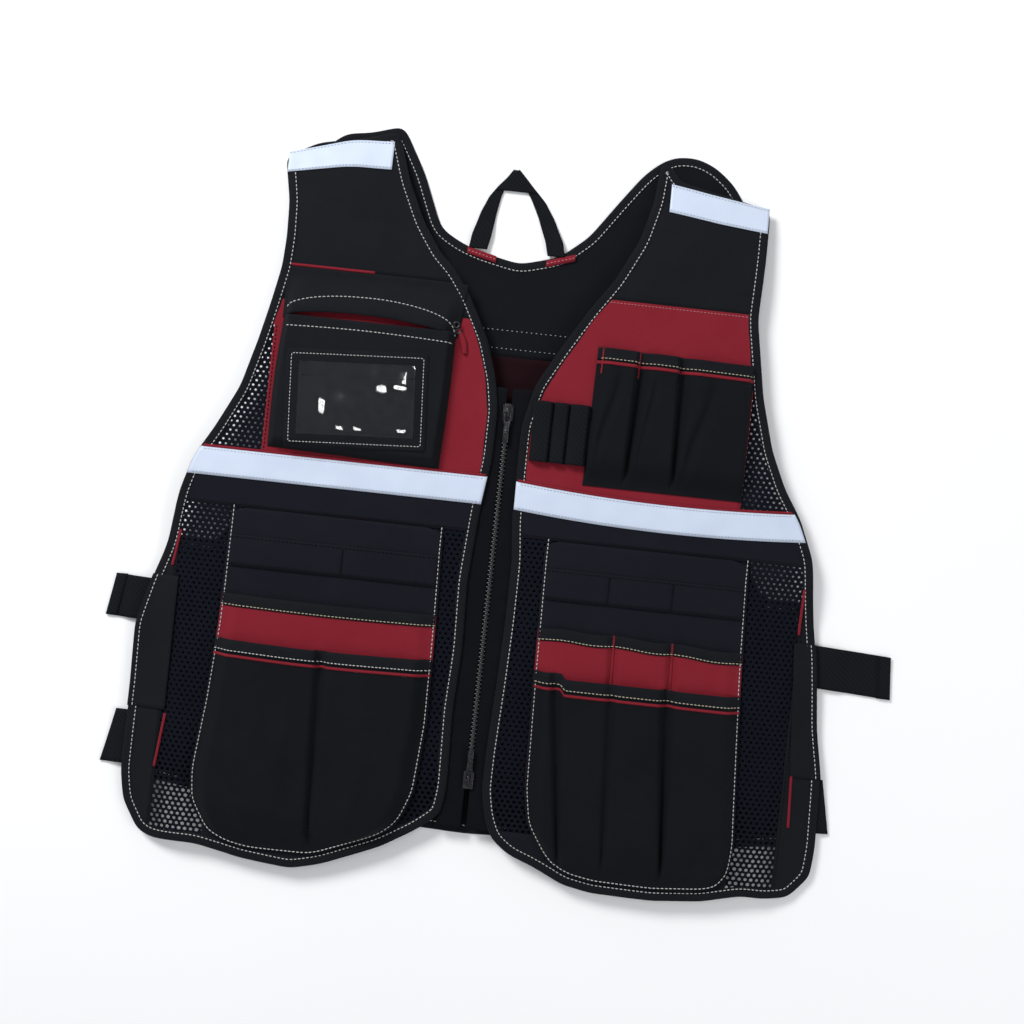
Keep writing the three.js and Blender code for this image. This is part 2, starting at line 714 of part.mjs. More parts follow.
// The panels of one front lie edge to edge inside the binding.
function addFrontPanels(side) {
  const name = sideName(side);
  const outline = outlineOf(side < 0 ? LEFT_FRONT : RIGHT_FRONT, side);
  const inner = largest(insetPrism(outline, BINDING_WIDTH + SEAM_GAP));
  const innerLoop = outlineFrom(inner);
  const far = FAR_X * side;
  const half = SEAM_GAP / 2;
  const part = (loop) => largest(cloth(loop).intersect(inner));
  const inFront = (point) => insideLoop(point, innerLoop);
  const binding = cloth(outline, -BINDING_FOLD, CLOTH + BINDING_FOLD);
  add("edge_binding_" + name, binding.subtract(largest(insetPrism(outline, BINDING_WIDTH))), BLACK_CLOTH);

  add("shoulder_panel_" + name, part(rectangle(0, CHEST_SEAM_Y + half, far, LENGTH + REACH)), BLACK_CLOTH);
  const gussetIn = side * GUSSET_X;
  const chest = part(rectangle(0, TAPE_Y + half, far, CHEST_SEAM_Y - half));
  const gussetCut = prism(rectangle(gussetIn - side * half, TAPE_Y - half, far, GUSSET_TOP_Y + SEAM_GAP));
  add("chest_panel_" + name, largest(chest.subtract(gussetCut)), RED_CLOTH);
  const gusset = rectangle(gussetIn + side * half, TAPE_Y + half, far, GUSSET_TOP_Y);
  const inGusset = (point) => inFront(point) && insideLoop(point, gusset);
  const gussetBox = [gussetIn, TAPE_Y, gussetIn + side * 2 * NET_GAP_X, GUSSET_TOP_Y];
  add("armhole_mesh_" + name, net(part(gusset), gussetBox, inGusset), NET_CLOTH);
  add("yoke_panel_" + name, part(rectangle(0, PANEL_TOP_Y + half, far, TAPE_Y - half)), NAVY_CLOTH);

  const rows = panelRows(side);
  const low = rows[0].y;
  const high = PANEL_TOP_Y - half;
  const panel = [
    ...rows.map(({ outer, y }) => [outer, Math.min(y, high)]),
    ...[...rows].reverse().map(({ inner: x, y }) => [x, Math.min(y, high)]),
  ];
  add("pocket_backing_" + name, part(panel), NAVY_CLOTH);
  const panelCut = outsetPrism(panel, SEAM_GAP);
  const offPanel = (point) => inFront(point) && !insideLoop(point, panel);

  const stripX = side * STRIP_INNER_X;
  const sideStrip = rectangle(rows[0].outer, -REACH, stripX - side * half, high);
  const sidePiece = largest(part(sideStrip).subtract(panelCut));
  const inSide = (point) => offPanel(point) && insideLoop(point, sideStrip);
  add("side_mesh_" + name, net(sidePiece, [rows[3].outer, low, stripX, high], inSide), NET_CLOTH);

  const centreStrip = rectangle(0, -REACH, rows[0].inner, high);
  const centrePiece = largest(part(centreStrip).subtract(panelCut));
  const inCentre = (point) => offPanel(point) && insideLoop(point, centreStrip);
  const centreBox = [side * BINDING_WIDTH * 3, low, rows[4].inner, high];
  add("centre_mesh_" + name, net(centrePiece, centreBox, inCentre, 1), NET_CLOTH);

  const strip = rectangle(stripX + side * half, -REACH, far, high);
  add("side_strip_" + name, part(strip), BLACK_CLOTH);
}

// Reflective tapes, the band over the yoke and the patch over the side strip
function addTapes(side) {
  const name = sideName(side);
  const outline = outlineOf(side < 0 ? LEFT_FRONT : RIGHT_FRONT, side);
  const within = insetPrism(outline, SEAM_GAP);
  const sag = side < 0 ? 0 : RIGHT_TAPE_SAG;
  const steps = sag > 0 ? 6 : 1;
  const lower = [];
  const upper = [];
  for (let i = 0; i <= steps; i++) {
    const t = i / steps;
    const drop = 4 * sag * t * (1 - t);
    lower.push([side * t * HALF_WIDTH, TAPE_Y - TAPE_WIDTH / 2 - drop]);
    upper.push([side * t * HALF_WIDTH, TAPE_Y + TAPE_WIDTH / 2 - drop]);
  }
  const band = [...lower, ...upper.reverse()];
  add("chest_tape_" + name, cloth(band, ON_FRONT, TAPE_CLOTH).intersect(within), REFLECTIVE);

  const shoulderRows = side < 0 ? LEFT_SHOULDER_TAPE : RIGHT_SHOULDER_TAPE;
  const upperEdge = outlineOf(shoulderRows, side);
  const lowerEdge = upperEdge.map(([x, y], i) => [x, y - shoulderRows[i].deep * SHOULDER_TAPE_WIDTH]);
  const shoulderLoop = [...upperEdge, ...lowerEdge.reverse()];
  const inner = insetPrism(outline, BINDING_WIDTH + SEAM_GAP);
  const shoulderTape = cloth(shoulderLoop, ON_FRONT, TAPE_CLOTH).intersect(inner);
  add("shoulder_tape_" + name, largest(shoulderTape), REFLECTIVE);

  const rows = panelRows(side);
  const bandRow = rowAt(rows, BAND_TOP_Y);
  const yokeBand = rectangle(bandRow.outer, BAND_TOP_Y - BAND_WIDTH, bandRow.inner, BAND_TOP_Y);
  add("yoke_band_" + name, cloth(yokeBand, ON_FRONT, TAPE_CLOTH), NAVY_CLOTH);

  const patch = rectangle(side * STRIP_INNER_X, PATCH_TOP_Y - PATCH_HEIGHT, side * FAR_X, PATCH_TOP_Y);
  add("side_patch_" + name, cloth(patch, ON_FRONT, CLOTH).intersect(within), BLACK_CLOTH);
}

// Lower pockets: the red back pocket, and the black front pocket over it
function addLowerPockets(side) {
  const name = sideName(side);
  const rows = panelRows(side);
  const bottom = rows[0].y;
  const baseZ = FRONT_Z + ON_FRONT;
  const left = side < 0;
  const backGrid = pocketGrid({
    rows: rowsBetween(rows, bottom, BACK_POCKET_TOP_Y),
    dividers: left ? [] : RIGHT_BACK_DIVIDERS,
    depth: BACK_POCKET_DEPTH,
    baseZ,
  });
  add("back_pocket_" + name, pocketSolid(backGrid), RED_CLOTH);
  const frontGrid = pocketGrid({
    rows: rowsBetween(rows, bottom, FRONT_POCKET_TOP_Y),
    dividers: left ? LEFT_FRONT_DIVIDERS : RIGHT_FRONT_DIVIDERS,
    depth: FRONT_POCKET_DEPTH,
    baseZ: baseZ + CLOTH + LAYER_GAP,
    under: BACK_POCKET_DEPTH,
  });
  add("front_pocket_" + name, pocketSolid(frontGrid), BLACK_CLOTH);
}

// Chest pocket with its curved flap, the identity window on it and the pull of its zip
function addChestPocket() {
  const side = -1;
  const inner = side * CHEST_POCKET_X;
  const outer = side * (CHEST_POCKET_X + CHEST_POCKET_WIDTH);
  const top = CHEST_POCKET_Y + CHEST_POCKET_HEIGHT;
  const baseZ = FRONT_Z + ON_FRONT;
  const rows = [CHEST_POCKET_Y, CHEST_POCKET_Y + CHEST_POCKET_RAMP, top].map((y) => ({ y, outer, inner }));
  const depth = CHEST_POCKET_DEPTH;
  const body = pocketGrid({ rows, dividers: [], depth, baseZ, bottomRamp: CHEST_POCKET_RAMP });
  add("chest_pocket", pocketSolid(body), BLACK_CLOTH);

  const flapLow = top + CHEST_FLAP_SLIT;
  const flap = FLAP_ROWS.map(({ down, lift, narrow }) =>
    FLAP_COLUMNS.map((column) => [
      mix(outer - side * narrow * POCKET_RAMP, inner + side * narrow * POCKET_RAMP, column.across),
      flapLow + (1 - down) * (CHEST_FLAP_HEIGHT - (1 - column.arch) * CHEST_FLAP_ARCH)
        - down * (1 - column.arch) * CHEST_FLAP_ARCH,
      baseZ + lift * column.lift * CHEST_FLAP_LIFT,
    ]),
  );
  add("chest_pocket_flap", pocketSolid([...flap].reverse()), BLACK_CLOTH);

  const faceZ = baseZ + CHEST_POCKET_DEPTH + ON_FRONT;
  const frameOuter = outer - side * ID_FRAME_MARGIN;
  const frameLow = CHEST_POCKET_Y + CHEST_POCKET_RAMP + ID_FRAME_RISE;
  const frameBy = (inset) =>
    rectangle(
      frameOuter - side * inset,
      frameLow + inset,
      frameOuter - side * (ID_FRAME_WIDTH - inset),
      frameLow + ID_FRAME_HEIGHT - inset,
    );
  const frame = prism(frameBy(0), faceZ, faceZ + CLOTH);
  add("id_frame", frame.subtract(prism(frameBy(ID_FRAME_BORDER), 0, TALL)), BLACK_CLOTH);
  add("id_window", prism(frameBy(ID_FRAME_BORDER + SEAM_GAP), faceZ, faceZ + TAPE_CLOTH), CLEAR_FILM);

  const pullX = inner - side * SEAM_GAP;
  const pull = rectangle(pullX, top - CHEST_PULL_LENGTH, pullX - side * CHEST_PULL_SIZE, top);
  add("pocket_pull", prism(pull, baseZ, baseZ + CHEST_PULL_SIZE / 2), RED_CLOTH);
}

// Tool pocket with slanting dividers, and the elastic loops for pens beside it
function addToolPocket() {
  const baseZ = FRONT_Z + ON_FRONT;
  const inner = TOOL_POCKET_X;
  const outer = TOOL_POCKET_X + TOOL_POCKET_WIDTH;
  const heights = [0, TOOL_POCKET_RAMP, TOOL_POCKET_HEIGHT];
  const rows = heights.map((height) => ({ y: TOOL_POCKET_Y + height, outer, inner }));
  const grid = pocketGrid({
    rows,
    dividers: TOOL_DIVIDERS,
    depth: TOOL_POCKET_DEPTH,
    baseZ,
    bottomRamp: TOOL_POCKET_RAMP,
  });
  add("tool_pocket", pocketSolid(grid), BLACK_CLOTH);
  const loopsOuter = TOOL_POCKET_X - PEN_LOOP_MARGIN;
  const loopsInner = loopsOuter - PEN_LOOPS_WIDTH;
  const width = PEN_LOOPS_WIDTH / PEN_LOOP_COUNT;
  const loops = [PEN_LOOP_RISE, PEN_LOOP_RISE + PEN_LOOP_HEIGHT].map((rise) => {
    const y = TOOL_POCKET_Y + rise;
    const row = [];
    for (let i = 0; i < PEN_LOOP_COUNT; i++) {
      const x = loopsInner + i * width;
      row.push([x, y, baseZ], [x + PEN_LOOP_RAMP, y, baseZ + PEN_LOOP_DEPTH]);
      row.push([x + width - PEN_LOOP_RAMP, y, baseZ + PEN_LOOP_DEPTH]);
    }
    row.push([loopsOuter, y, baseZ]);
    return row;
  });
  add("pen_loops", pocketSolid(loops), BLACK_CLOTH);
}

// The back lies flat: a yoke, a red chest panel and a lower panel inside a binding, with a tape under them
function addBack() {
  const outline = outlineOf(BACK, 1);
  const inner = largest(insetPrism(outline, BINDING_WIDTH + SEAM_GAP));
  const sheet = prism(outline, 0, BACK_CLOTH);
  add("back_binding", sheet.subtract(largest(insetPrism(outline, BINDING_WIDTH))), BLACK_CLOTH);
  const far = FAR_X;
  const half = SEAM_GAP / 2;
  const tapeLow = BACK_TAPE_Y - TAPE_WIDTH / 2;
  const tapeHigh = BACK_TAPE_Y + TAPE_WIDTH / 2;
  const channelLoop = rectangle(-far, tapeLow - SEAM_GAP, far, tapeHigh + SEAM_GAP);
  const channel = prism(channelLoop, -CUT, BACK_TAPE_DEPTH + LAYER_GAP);
  const panel = (low, high) => sheet.intersect(inner).intersect(prism(rectangle(-far, low, far, high)));
  const yoke = panel(BACK_SEAM_Y + half, LENGTH + REACH).subtract(channel);
  add("back_yoke", largest(yoke), BLACK_CLOTH);
  add("back_chest", largest(panel(TAPE_Y + half, BACK_SEAM_Y - half)), RED_CLOTH);
  add("back_lower", largest(panel(-REACH, TAPE_Y - half)), BLACK_CLOTH);
  const tape = prism(rectangle(-far, tapeLow, far, tapeHigh), 0, BACK_TAPE_DEPTH).intersect(inner);
  add("back_tape", largest(tape), REFLECTIVE);
}

// Hanging loop: webbing folded to a point, lying past the neck with its feet on the back
function addHangingLoop() {
  const neckY = BACK[LOOP_NECK_ROW].up * LENGTH;
  const sideOf = (rows, key) =>
    rows.map((row) => [LOOP_X + row[key] * LOOP_SPREAD, neckY + row.up * LOOP_HEIGHT]);
  const loop = (rows, left, right) => [...sideOf(rows, left), ...sideOf(rows, right).reverse()];
  const outer = loop(LOOP_ROWS, "outerLeft", "outerRight");
  const openRows = LOOP_ROWS.filter((row) => "innerLeft" in row);
  const gap = loop(openRows, "innerLeft", "innerRight");
  gap[0][1] -= CUT;
  gap[gap.length - 1][1] -= CUT;
  const dropY = neckY + LOOP_DROP_START;
  const lie = BACK_CLOTH + LAYER_GAP;
  const heights = [neckY - LENGTH, dropY, dropY + LOOP_DROP, neckY + LENGTH];
  const grid = heights.map((y, i) => [-HALF_WIDTH, HALF_WIDTH].map((x) => [x, y, i < 2 ? lie : 0]));
  const webbing = solidOf(sheetGeometry(grid, WEBBING));
  add("hanging_loop", largest(webbing.intersect(prism(outer)).subtract(prism(gap))), BLACK_CLOTH);
}

// Straps between the back and the fronts, that come out at the sides and droop to what the vest lies on
function addStrap({ name, side, width, root, rise, low, high }) {
  const edge = side * (HALF_WIDTH + STRAP_OVERHANG);
  const rootX = side * STRAP_INNER_X;
  const rootY = root * PANEL_TOP_Y;
  const tipY = rootY + rise * PANEL_TOP_Y;
  const lie = BACK_CLOTH + LAYER_GAP;
  const across = [
    [rootX - side * CUT, lie],
    [edge, lie],
    [edge + side * STRAP_DROP_RUN, 0],
    [side * (HALF_WIDTH + 2 * REACH), 0],
  ].sort((a, b) => a[0] - b[0]);
  const grid = [-LENGTH, 2 * LENGTH].map((y) => across.map(([x, z]) => [x, y, z]));
  const loop = [
    [rootX, rootY - width / 2],
    [side * low * HALF_WIDTH, tipY - width / 2],
    [side * high * HALF_WIDTH, tipY + width / 2],
    [rootX, rootY + width / 2],
  ];
  const strap = solidOf(sheetGeometry(grid, WEBBING)).intersect(prism(loop));
  add(name + "_" + sideName(side), strap, BLACK_CLOTH);
}

// Zip: two tapes, the chain of teeth between two sliders, and the pulls that hinge on the sliders
function addZip() {
  const half = TEETH_WIDTH / 2 + SEAM_GAP;
  for (const side of [-1, 1]) {
    const low = SLIDER_BOTTOM_Y - ZIP_BOTTOM_MARGIN;
    const tape = rectangle(side * half, low, side * ZIP_TAPE_HALF, SLIDER_TOP_Y + ZIP_TOP_MARGIN);
    add("zip_tape_" + sideName(side), cloth(tape, ZIP_TAPE_TOP - TAPE_CLOTH, TAPE_CLOTH), BLACK_CLOTH);
  }
  const teethZ = FRONT_Z + TEETH_TOP;
  const chainLoop = rectangle(-TEETH_WIDTH / 2, SLIDER_BOTTOM_Y, TEETH_WIDTH / 2, SLIDER_TOP_Y);
  const chain = prism(chainLoop, teethZ - TEETH_THICKNESS, teethZ);
  const firstY = SLIDER_BOTTOM_Y + SLIDER_LENGTH + TOOTH_PITCH;
  const lastY = SLIDER_TOP_Y - SLIDER_LENGTH - TOOTH_PITCH;
  const notches = [];
  for (let y = firstY; y < lastY; y += TOOTH_PITCH) {
    notches.push(rectangle(-TEETH_WIDTH, y, TEETH_WIDTH, y + TOOTH_PITCH / 3));
  }
  const cuts = prism(notches, teethZ - TEETH_THICKNESS / 4, teethZ + CUT);
  add("zip_teeth", chain.subtract(cuts), ZIP_METAL);
  addSlider("top", SLIDER_TOP_Y, 1, teethZ);
  addSlider("bottom", SLIDER_BOTTOM_Y, -1, teethZ);
}

// A slider clasps the end of the chain. end is +1 where the chain ends upwards.
function addSlider(name, chainEnd, end, teethZ) {
  const gapLow = teethZ - TEETH_THICKNESS - LAYER_GAP;
  const gapHigh = teethZ + LAYER_GAP;
  const near = chainEnd - end * SLIDER_GRIP;
  const far = near + end * SLIDER_LENGTH;
  const post = chainEnd + end * SEAM_GAP;
  const box = (x, y0, y1, z0, z1) => prism(rectangleY(x, y0, y1), z0, z1);
  const topZ = gapHigh + SLIDER_PLATE;
  const lowerPlate = box(SLIDER_WIDTH / 2, near, far, gapLow - SLIDER_PLATE, gapLow);
  const upperPlate = box(SLIDER_WIDTH / 2, near, far, gapHigh, topZ);
  const column = box(TEETH_WIDTH / 2, post, far, gapLow - JOIN, gapHigh + JOIN);
  const middle = (near + far) / 2;
  const bridgeTop = topZ + BRIDGE_HEIGHT;
  const reach = BRIDGE_LENGTH / 2;
  const arch = box(BRIDGE_WIDTH / 2, middle - reach, middle + reach, topZ - JOIN, bridgeTop);
  const open = reach - BRIDGE_WALL;
  const under = box(BRIDGE_WIDTH, middle - open, middle + open, topZ, bridgeTop - BRIDGE_WALL);
  const bridge = arch.subtract(under);
  add("zip_slider_" + name, lowerPlate.add(upperPlate).add(column).add(bridge), ZIP_METAL);

  const axisZ = topZ + (BRIDGE_HEIGHT - BRIDGE_WALL) / 2;
  const bar = new THREE.CylinderGeometry(PULL_BAR_RADIUS, PULL_BAR_RADIUS, PULL_WIDTH, 10);
  bar.rotateZ(Math.PI / 2);
  bar.translate(0, middle, axisZ);
  const eyeX = BRIDGE_WIDTH / 2 + PULL_CLEARANCE;
  const half = PULL_ARM / 2;
  const tab = box(PULL_WIDTH / 2, middle, middle - end * PULL_LENGTH, axisZ - half, axisZ + half);
  const eyeEnd = middle - end * PULL_EYE_LENGTH;
  const eye = box(eyeX, middle + end * PULL_EYE_LENGTH, eyeEnd, axisZ - PULL_ARM, axisZ + PULL_ARM);
  add("zip_pull_" + name, tab.subtract(eye).add(solidOf(bar)), ZIP_METAL);
}

for (const side of [-1, 1]) {
  addFrontPanels(side);
  addTapes(side);
  addLowerPockets(side);
}
addChestPocket();
addToolPocket();
addBack();
addHangingLoop();
STRAPS.forEach(addStrap);
addZip();

// The origin is under the middle of the bounding box.
const extent = new THREE.Box3().setFromObject(vest);
const centre = extent.getCenter(new THREE.Vector3());
vest.position.set(-centre.x, -centre.y, -extent.min.z);

export default vest;
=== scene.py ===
"""A utility work vest that lies on a pale floor: its cloth, net, tapes, pockets, straps, stitching and zip.

Lengths are millimetres in the vest's own frame: X across, Y up from the hem, Z up from the floor.
"left" is the side at low X, as it is seen from above.
"""

import math

import bpy
import numpy as np
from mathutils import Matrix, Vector


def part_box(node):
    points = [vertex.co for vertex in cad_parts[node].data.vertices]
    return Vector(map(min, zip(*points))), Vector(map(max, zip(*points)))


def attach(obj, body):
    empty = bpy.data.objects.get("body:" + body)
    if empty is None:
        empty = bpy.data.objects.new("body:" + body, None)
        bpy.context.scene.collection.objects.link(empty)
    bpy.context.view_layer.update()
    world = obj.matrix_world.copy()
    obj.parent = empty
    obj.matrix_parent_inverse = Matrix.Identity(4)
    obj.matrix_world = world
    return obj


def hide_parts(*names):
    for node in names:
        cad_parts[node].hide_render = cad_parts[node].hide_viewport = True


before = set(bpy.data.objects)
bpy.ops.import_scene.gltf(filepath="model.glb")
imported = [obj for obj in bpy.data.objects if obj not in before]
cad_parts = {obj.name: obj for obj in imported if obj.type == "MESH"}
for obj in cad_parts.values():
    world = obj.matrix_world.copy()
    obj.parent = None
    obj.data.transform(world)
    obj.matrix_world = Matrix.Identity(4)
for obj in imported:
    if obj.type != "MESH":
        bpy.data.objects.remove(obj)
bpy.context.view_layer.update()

MM = 0.001
RANDOM = np.random.default_rng(7)

# Levels and falls of the two fronts, as in the CAD
FRONT_Z = 14.0
SIDE_Z = 5.2
FOLD_Z = 3.1
CLOTH = 1.2
BACK_CLOTH = 2.0
SIDE_FALL_X = 243.0
SIDE_FALL_WIDTH = 57.0
SIDE_FALL_RUN = 45.0

# Heights of the seams, read from the solids' boxes
SLIDER_BOTTOM_Y = 86.0
chain_low, chain_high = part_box("zip_teeth")
SHIFT_X = (chain_low.x + chain_high.x) / 2
SHIFT_Y = chain_low.y - SLIDER_BOTTOM_Y * MM


def box_mm(node):
    """The lowest and highest corner of a node in the vest's own frame."""
    low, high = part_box(node)
    shift = np.array([SHIFT_X, SHIFT_Y, 0.0])
    return (np.array(low) - shift) / MM, (np.array(high) - shift) / MM


TAPE_Y = 341.0
TAPE_WIDTH = 24.5
PANEL_TOP_Y = box_mm("pocket_backing_left")[1][1]
CHEST_SEAM_Y = box_mm("chest_panel_left")[1][1]
SHOULDER_FALL_Y = CHEST_SEAM_Y + 8
SHOULDER_FOLD_Y = 640.0
STRIP_X = 273.0
PANEL_MIDDLE_X = 150.0
GUSSET_X = 210.0
GUSSET_TOP_Y = box_mm("armhole_mesh_left")[1][1]
BINDING_WIDTH = 9.0
# Cloth along the hem and its corner: inner X, outer X and top Y
HEM_CLOTH = {-1: (50.0, 226.0, 45.0), 1: (74.0, 232.0, 30.0)}
HEM_CORNER = {1: (30.0, 74.0, 48.0)}
RED_TOP_Y = {-1: 488.0, 1: CHEST_SEAM_Y}
TAPE_SAG = {-1: 0.0, 1: 8.0}
SIDES = {-1: "left", 1: "right"}

# Where the panels' rectangles end: past the outlines, which cut them
FAR_X = 345.0
FRONT_FAR_Y = 660.0
BACK_FAR_Y = 665.0
STRIP_FOOT_Y = -30.0
HEM_FOOT_Y = -15.0
NET_FOOT_Y = -12.0

# Seams of the back's inside
BACK_HEM_Y = 20.0
BACK_SEAM_Y = 460.0

# Stitching
STITCH_PITCH = 3.6
STITCH_LENGTH = 2.7
STITCH_WIDTH = 0.85
EDGE_STITCH = 7.2


def clamp(value, low=0.0, high=1.0):
    return np.minimum(high, np.maximum(low, value))


def smooth(value):
    t = clamp(value)
    return t * t * (3 - 2 * t)


def mix(a, b, t):
    return a + (b - a) * t


# Relief of the cloth

WAVES = [
    (RANDOM.uniform(55, 190), RANDOM.uniform(0, math.pi), RANDOM.uniform(0, 2 * math.pi)) for _ in range(14)
]
FINE_WAVES = [
    (RANDOM.uniform(14, 34), RANDOM.uniform(0, math.pi), RANDOM.uniform(0, 2 * math.pi)) for _ in range(12)
]


def waves(x, y, table, amplitude):
    total = 0.0
    for length, direction, phase in table:
        along = x * math.cos(direction) + y * math.sin(direction)
        bend = 6 * np.sin(y / 67 + phase) + 5 * np.sin(x / 53 + 2 * phase)
        total = total + np.sin((along + bend) * 2 * math.pi / length + phase)
    return amplitude * total / math.sqrt(len(table))


def crease(x, y, start, end, depth, width):
    """A soft groove (negative depth) or ridge along a line."""
    (ax, ay), (bx, by) = start, end
    length = math.hypot(bx - ax, by - ay)
    ux, uy = (bx - ax) / length, (by - ay) / length
    along = (x - ax) * ux + (y - ay) * uy
    across = (x - ax) * uy - (y - ay) * ux + 2.5 * np.sin(along / 17)
    ends = smooth(along / (0.3 * length)) * smooth((length - along) / (0.3 * length))
    return depth * np.exp(-((across / width) ** 2)) * ends


SHELL_CREASES = [
    ((-170, 560), (-95, 470), 0.8, 9),
    ((-200, 600), (-120, 545), -0.7, 8),
    ((150, 590), (90, 500), 0.7, 9),
    ((190, 560), (130, 530), -0.6, 7),
    ((-255, 290), (-245, 80), -1.0, 8),
    ((-262, 200), (-236, 130), 0.9, 7),
    ((255, 280), (248, 90), -1.0, 8),
    ((262, 180), (240, 110), 0.9, 7),
    ((-190, 326), (-60, 318), 0.5, 6),
    ((60, 322), (200, 312), -0.5, 6),
]


def relief(x, y):
    """Wrinkles that all layers of the fronts share, which die out beside the zip."""
    calm = clamp((np.abs(x) - 22) / 30)
    total = waves(x, y, WAVES, 0.55) + waves(x, y, FINE_WAVES, 0.09)
    for start, end, depth, width in SHELL_CREASES:
        total = total + crease(x, y, start, end, depth, width)
    return total * calm


def front_top(x, y):
    """The upper face of the fronts' cloth."""
    towards = clamp((np.abs(x) - SIDE_FALL_X) / SIDE_FALL_WIDTH)
    below = clamp((PANEL_TOP_Y - 4 - y) / SIDE_FALL_RUN)
    side_fall = (FRONT_Z - SIDE_Z) * smooth(towards) * below
    fold = clamp((y - SHOULDER_FALL_Y) / (SHOULDER_FOLD_Y - SHOULDER_FALL_Y))
    return FRONT_Z - side_fall - (FRONT_Z - FOLD_Z) * fold**2 + CLOTH + relief(x, y)


def back_top(x, y):
    return BACK_CLOTH + 0.25 * relief(x + 90, y - 40)


# Meshes

def row_frame(points):
    points = np.asarray(points, float).reshape(-1, 3) * MM
    return points + np.array([SHIFT_X, SHIFT_Y, 0.0])


def piece(name, points, faces, material, body="vest", nodes=(), slot=None):
    """A mesh object in the row frame that rides on a body and stands for CAD nodes."""
    mesh = bpy.data.meshes.new(name)
    mesh.from_pydata(row_frame(points).tolist(), [], [tuple(int(i) for i in f) for f in faces])
    mesh.validate()
    mesh.materials.append(material)
    mesh.shade_smooth()
    mesh.update()
    obj = bpy.data.objects.new(name, mesh)
    bpy.context.scene.collection.objects.link(obj)
    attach(obj, body)
    if nodes:
        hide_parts(*nodes)
    return obj


def thicken(obj, thickness):
    """Gives a sheet its thickness below the face that was drawn."""
    solid = obj.modifiers.new("thickness", "SOLIDIFY")
    solid.thickness = thickness * MM
    solid.offset = -1
    solid.use_rim = True
    return obj


def grid_faces(rows, columns, closed=False):
    across = columns if closed else columns - 1
    r, c = np.meshgrid(np.arange(rows - 1), np.arange(across), indexing="ij")
    right = (c + 1) % columns
    a, b = r * columns + c, r * columns + right
    return np.stack([a, b, b + columns, a + columns], axis=-1).reshape(-1, 4)


def sheet_area(points, faces):
    """The area of a drawn sheet in square metres, over its folds."""
    p = np.asarray(points, float).reshape(-1, 3)
    f = np.array([f[:4] for f in faces])
    one = np.cross(p[f[:, 1]] - p[f[:, 0]], p[f[:, 2]] - p[f[:, 0]])
    two = np.cross(p[f[:, 2]] - p[f[:, 0]], p[f[:, 3]] - p[f[:, 0]])
    return float((np.linalg.norm(one, axis=1) + np.linalg.norm(two, axis=1)).sum() / 2) * MM * MM


STRIP_SHARE = 0.9
LEAST_SHARE = 0.35


def lay(obj, points, faces):
    """Works out a sheet's flat cut: the rectangle round it, or the strip that a thin bent one takes. Nothing
    is kept, and the sheet comes back unchanged.
    """
    flat_points = np.asarray(points, float).reshape(-1, 3)
    width, length = np.ptp(flat_points[:, 0]) * MM, np.ptp(flat_points[:, 1]) * MM
    area = sheet_area(points, faces)
    share = area / (width * length)
    if share > 1:
        width *= share
    elif share < LEAST_SHARE:
        width = area / (STRIP_SHARE * length)
    return obj


def cloth_grid(name, grid, material, thickness=1.0, rests_on=None, **about):
    """A sheet from rows of points, drawn on its upper face from low to high Y and low to high X."""
    grid = np.asarray(grid, float)
    rows, columns = grid.shape[:2]
    if grid[0, 0, 0] > grid[0, -1, 0]:
        grid = grid[:, ::-1]
    points = grid.reshape(-1, 3)
    faces = grid_faces(rows, columns)
    obj = thicken(piece(name, points, faces, material, **about), thickness)
    if rests_on:
        lay(obj, points, faces)
    return obj


def patch(name, point, shares, heights, material, thickness, rests_on=None, lift=0.0, **about):
    """A sheet over a grid of shares across and heights, on a surface that gives its points."""
    share, y = np.meshgrid(shares, heights)
    return cloth_grid(name, np.stack(point(share, y, lift), axis=-1), material, thickness, rests_on, **about)


def runs(*spans):
    """Values through spans of start, end and count, with each shared end once."""
    parts = [np.linspace(*each) for each in spans]
    return np.concatenate([part[:-1] for part in parts[:-1]] + [parts[-1]])


def fine_foot(start, run, power, fine, end, count):
    """Heights from start to end that are closer together over the first run."""
    foot = start + run * np.linspace(0, 1, fine)[:-1] ** power
    return np.concatenate([foot, np.linspace(start + run, end, count)])


def level(xs, y):
    """A flat path over those X at one height."""
    return np.column_stack([xs, np.full(len(xs), y)])


def by_x(x, z):
    """A surface whose height follows X, from known places."""
    keys = np.argsort(x)
    return lambda px, py: np.interp(px, x[keys], z[keys])


def by_y(y, z):
    """A surface whose height follows Y, from known places."""
    keys = np.argsort(y)
    return lambda px, py: np.interp(py, y[keys], z[keys])


def bevel(obj, width, segments):
    rounding = obj.modifiers.new("rounding", "BEVEL")
    rounding.width = width * MM
    rounding.segments = segments
    return rounding


# Outlines

def loops_of(node):
    """The outlines of a node's upper faces in the vest's frame, the largest first."""
    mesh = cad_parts[node].data
    places = np.array([v.co for v in mesh.vertices], float)
    flat = (places[:, :2] - np.array([SHIFT_X, SHIFT_Y])) / MM
    keys = [tuple(k) for k in np.round(flat * 100).astype(int)]
    edges = set()
    for polygon in mesh.polygons:
        if polygon.normal.z > 0.5:
            corners = [keys[v] for v in polygon.vertices]
            edges.update(zip(corners, corners[1:] + corners[:1]))
    onward = {a: b for a, b in edges if (b, a) not in edges}
    loops = []
    while onward:
        at = first = next(iter(onward))
        loop = []
        while at in onward:
            loop.append(at)
            at = onward.pop(at)
        if at == first and len(loop) > 2:
            loops.append(np.array(loop, float) / 100)
    return sorted(loops, key=lambda loop: -abs(area_of(loop)))


def area_of(loop):
    x, y = loop[:, 0], loop[:, 1]
    return 0.5 * float(np.sum(x * np.roll(y, -1) - np.roll(x, -1) * y))


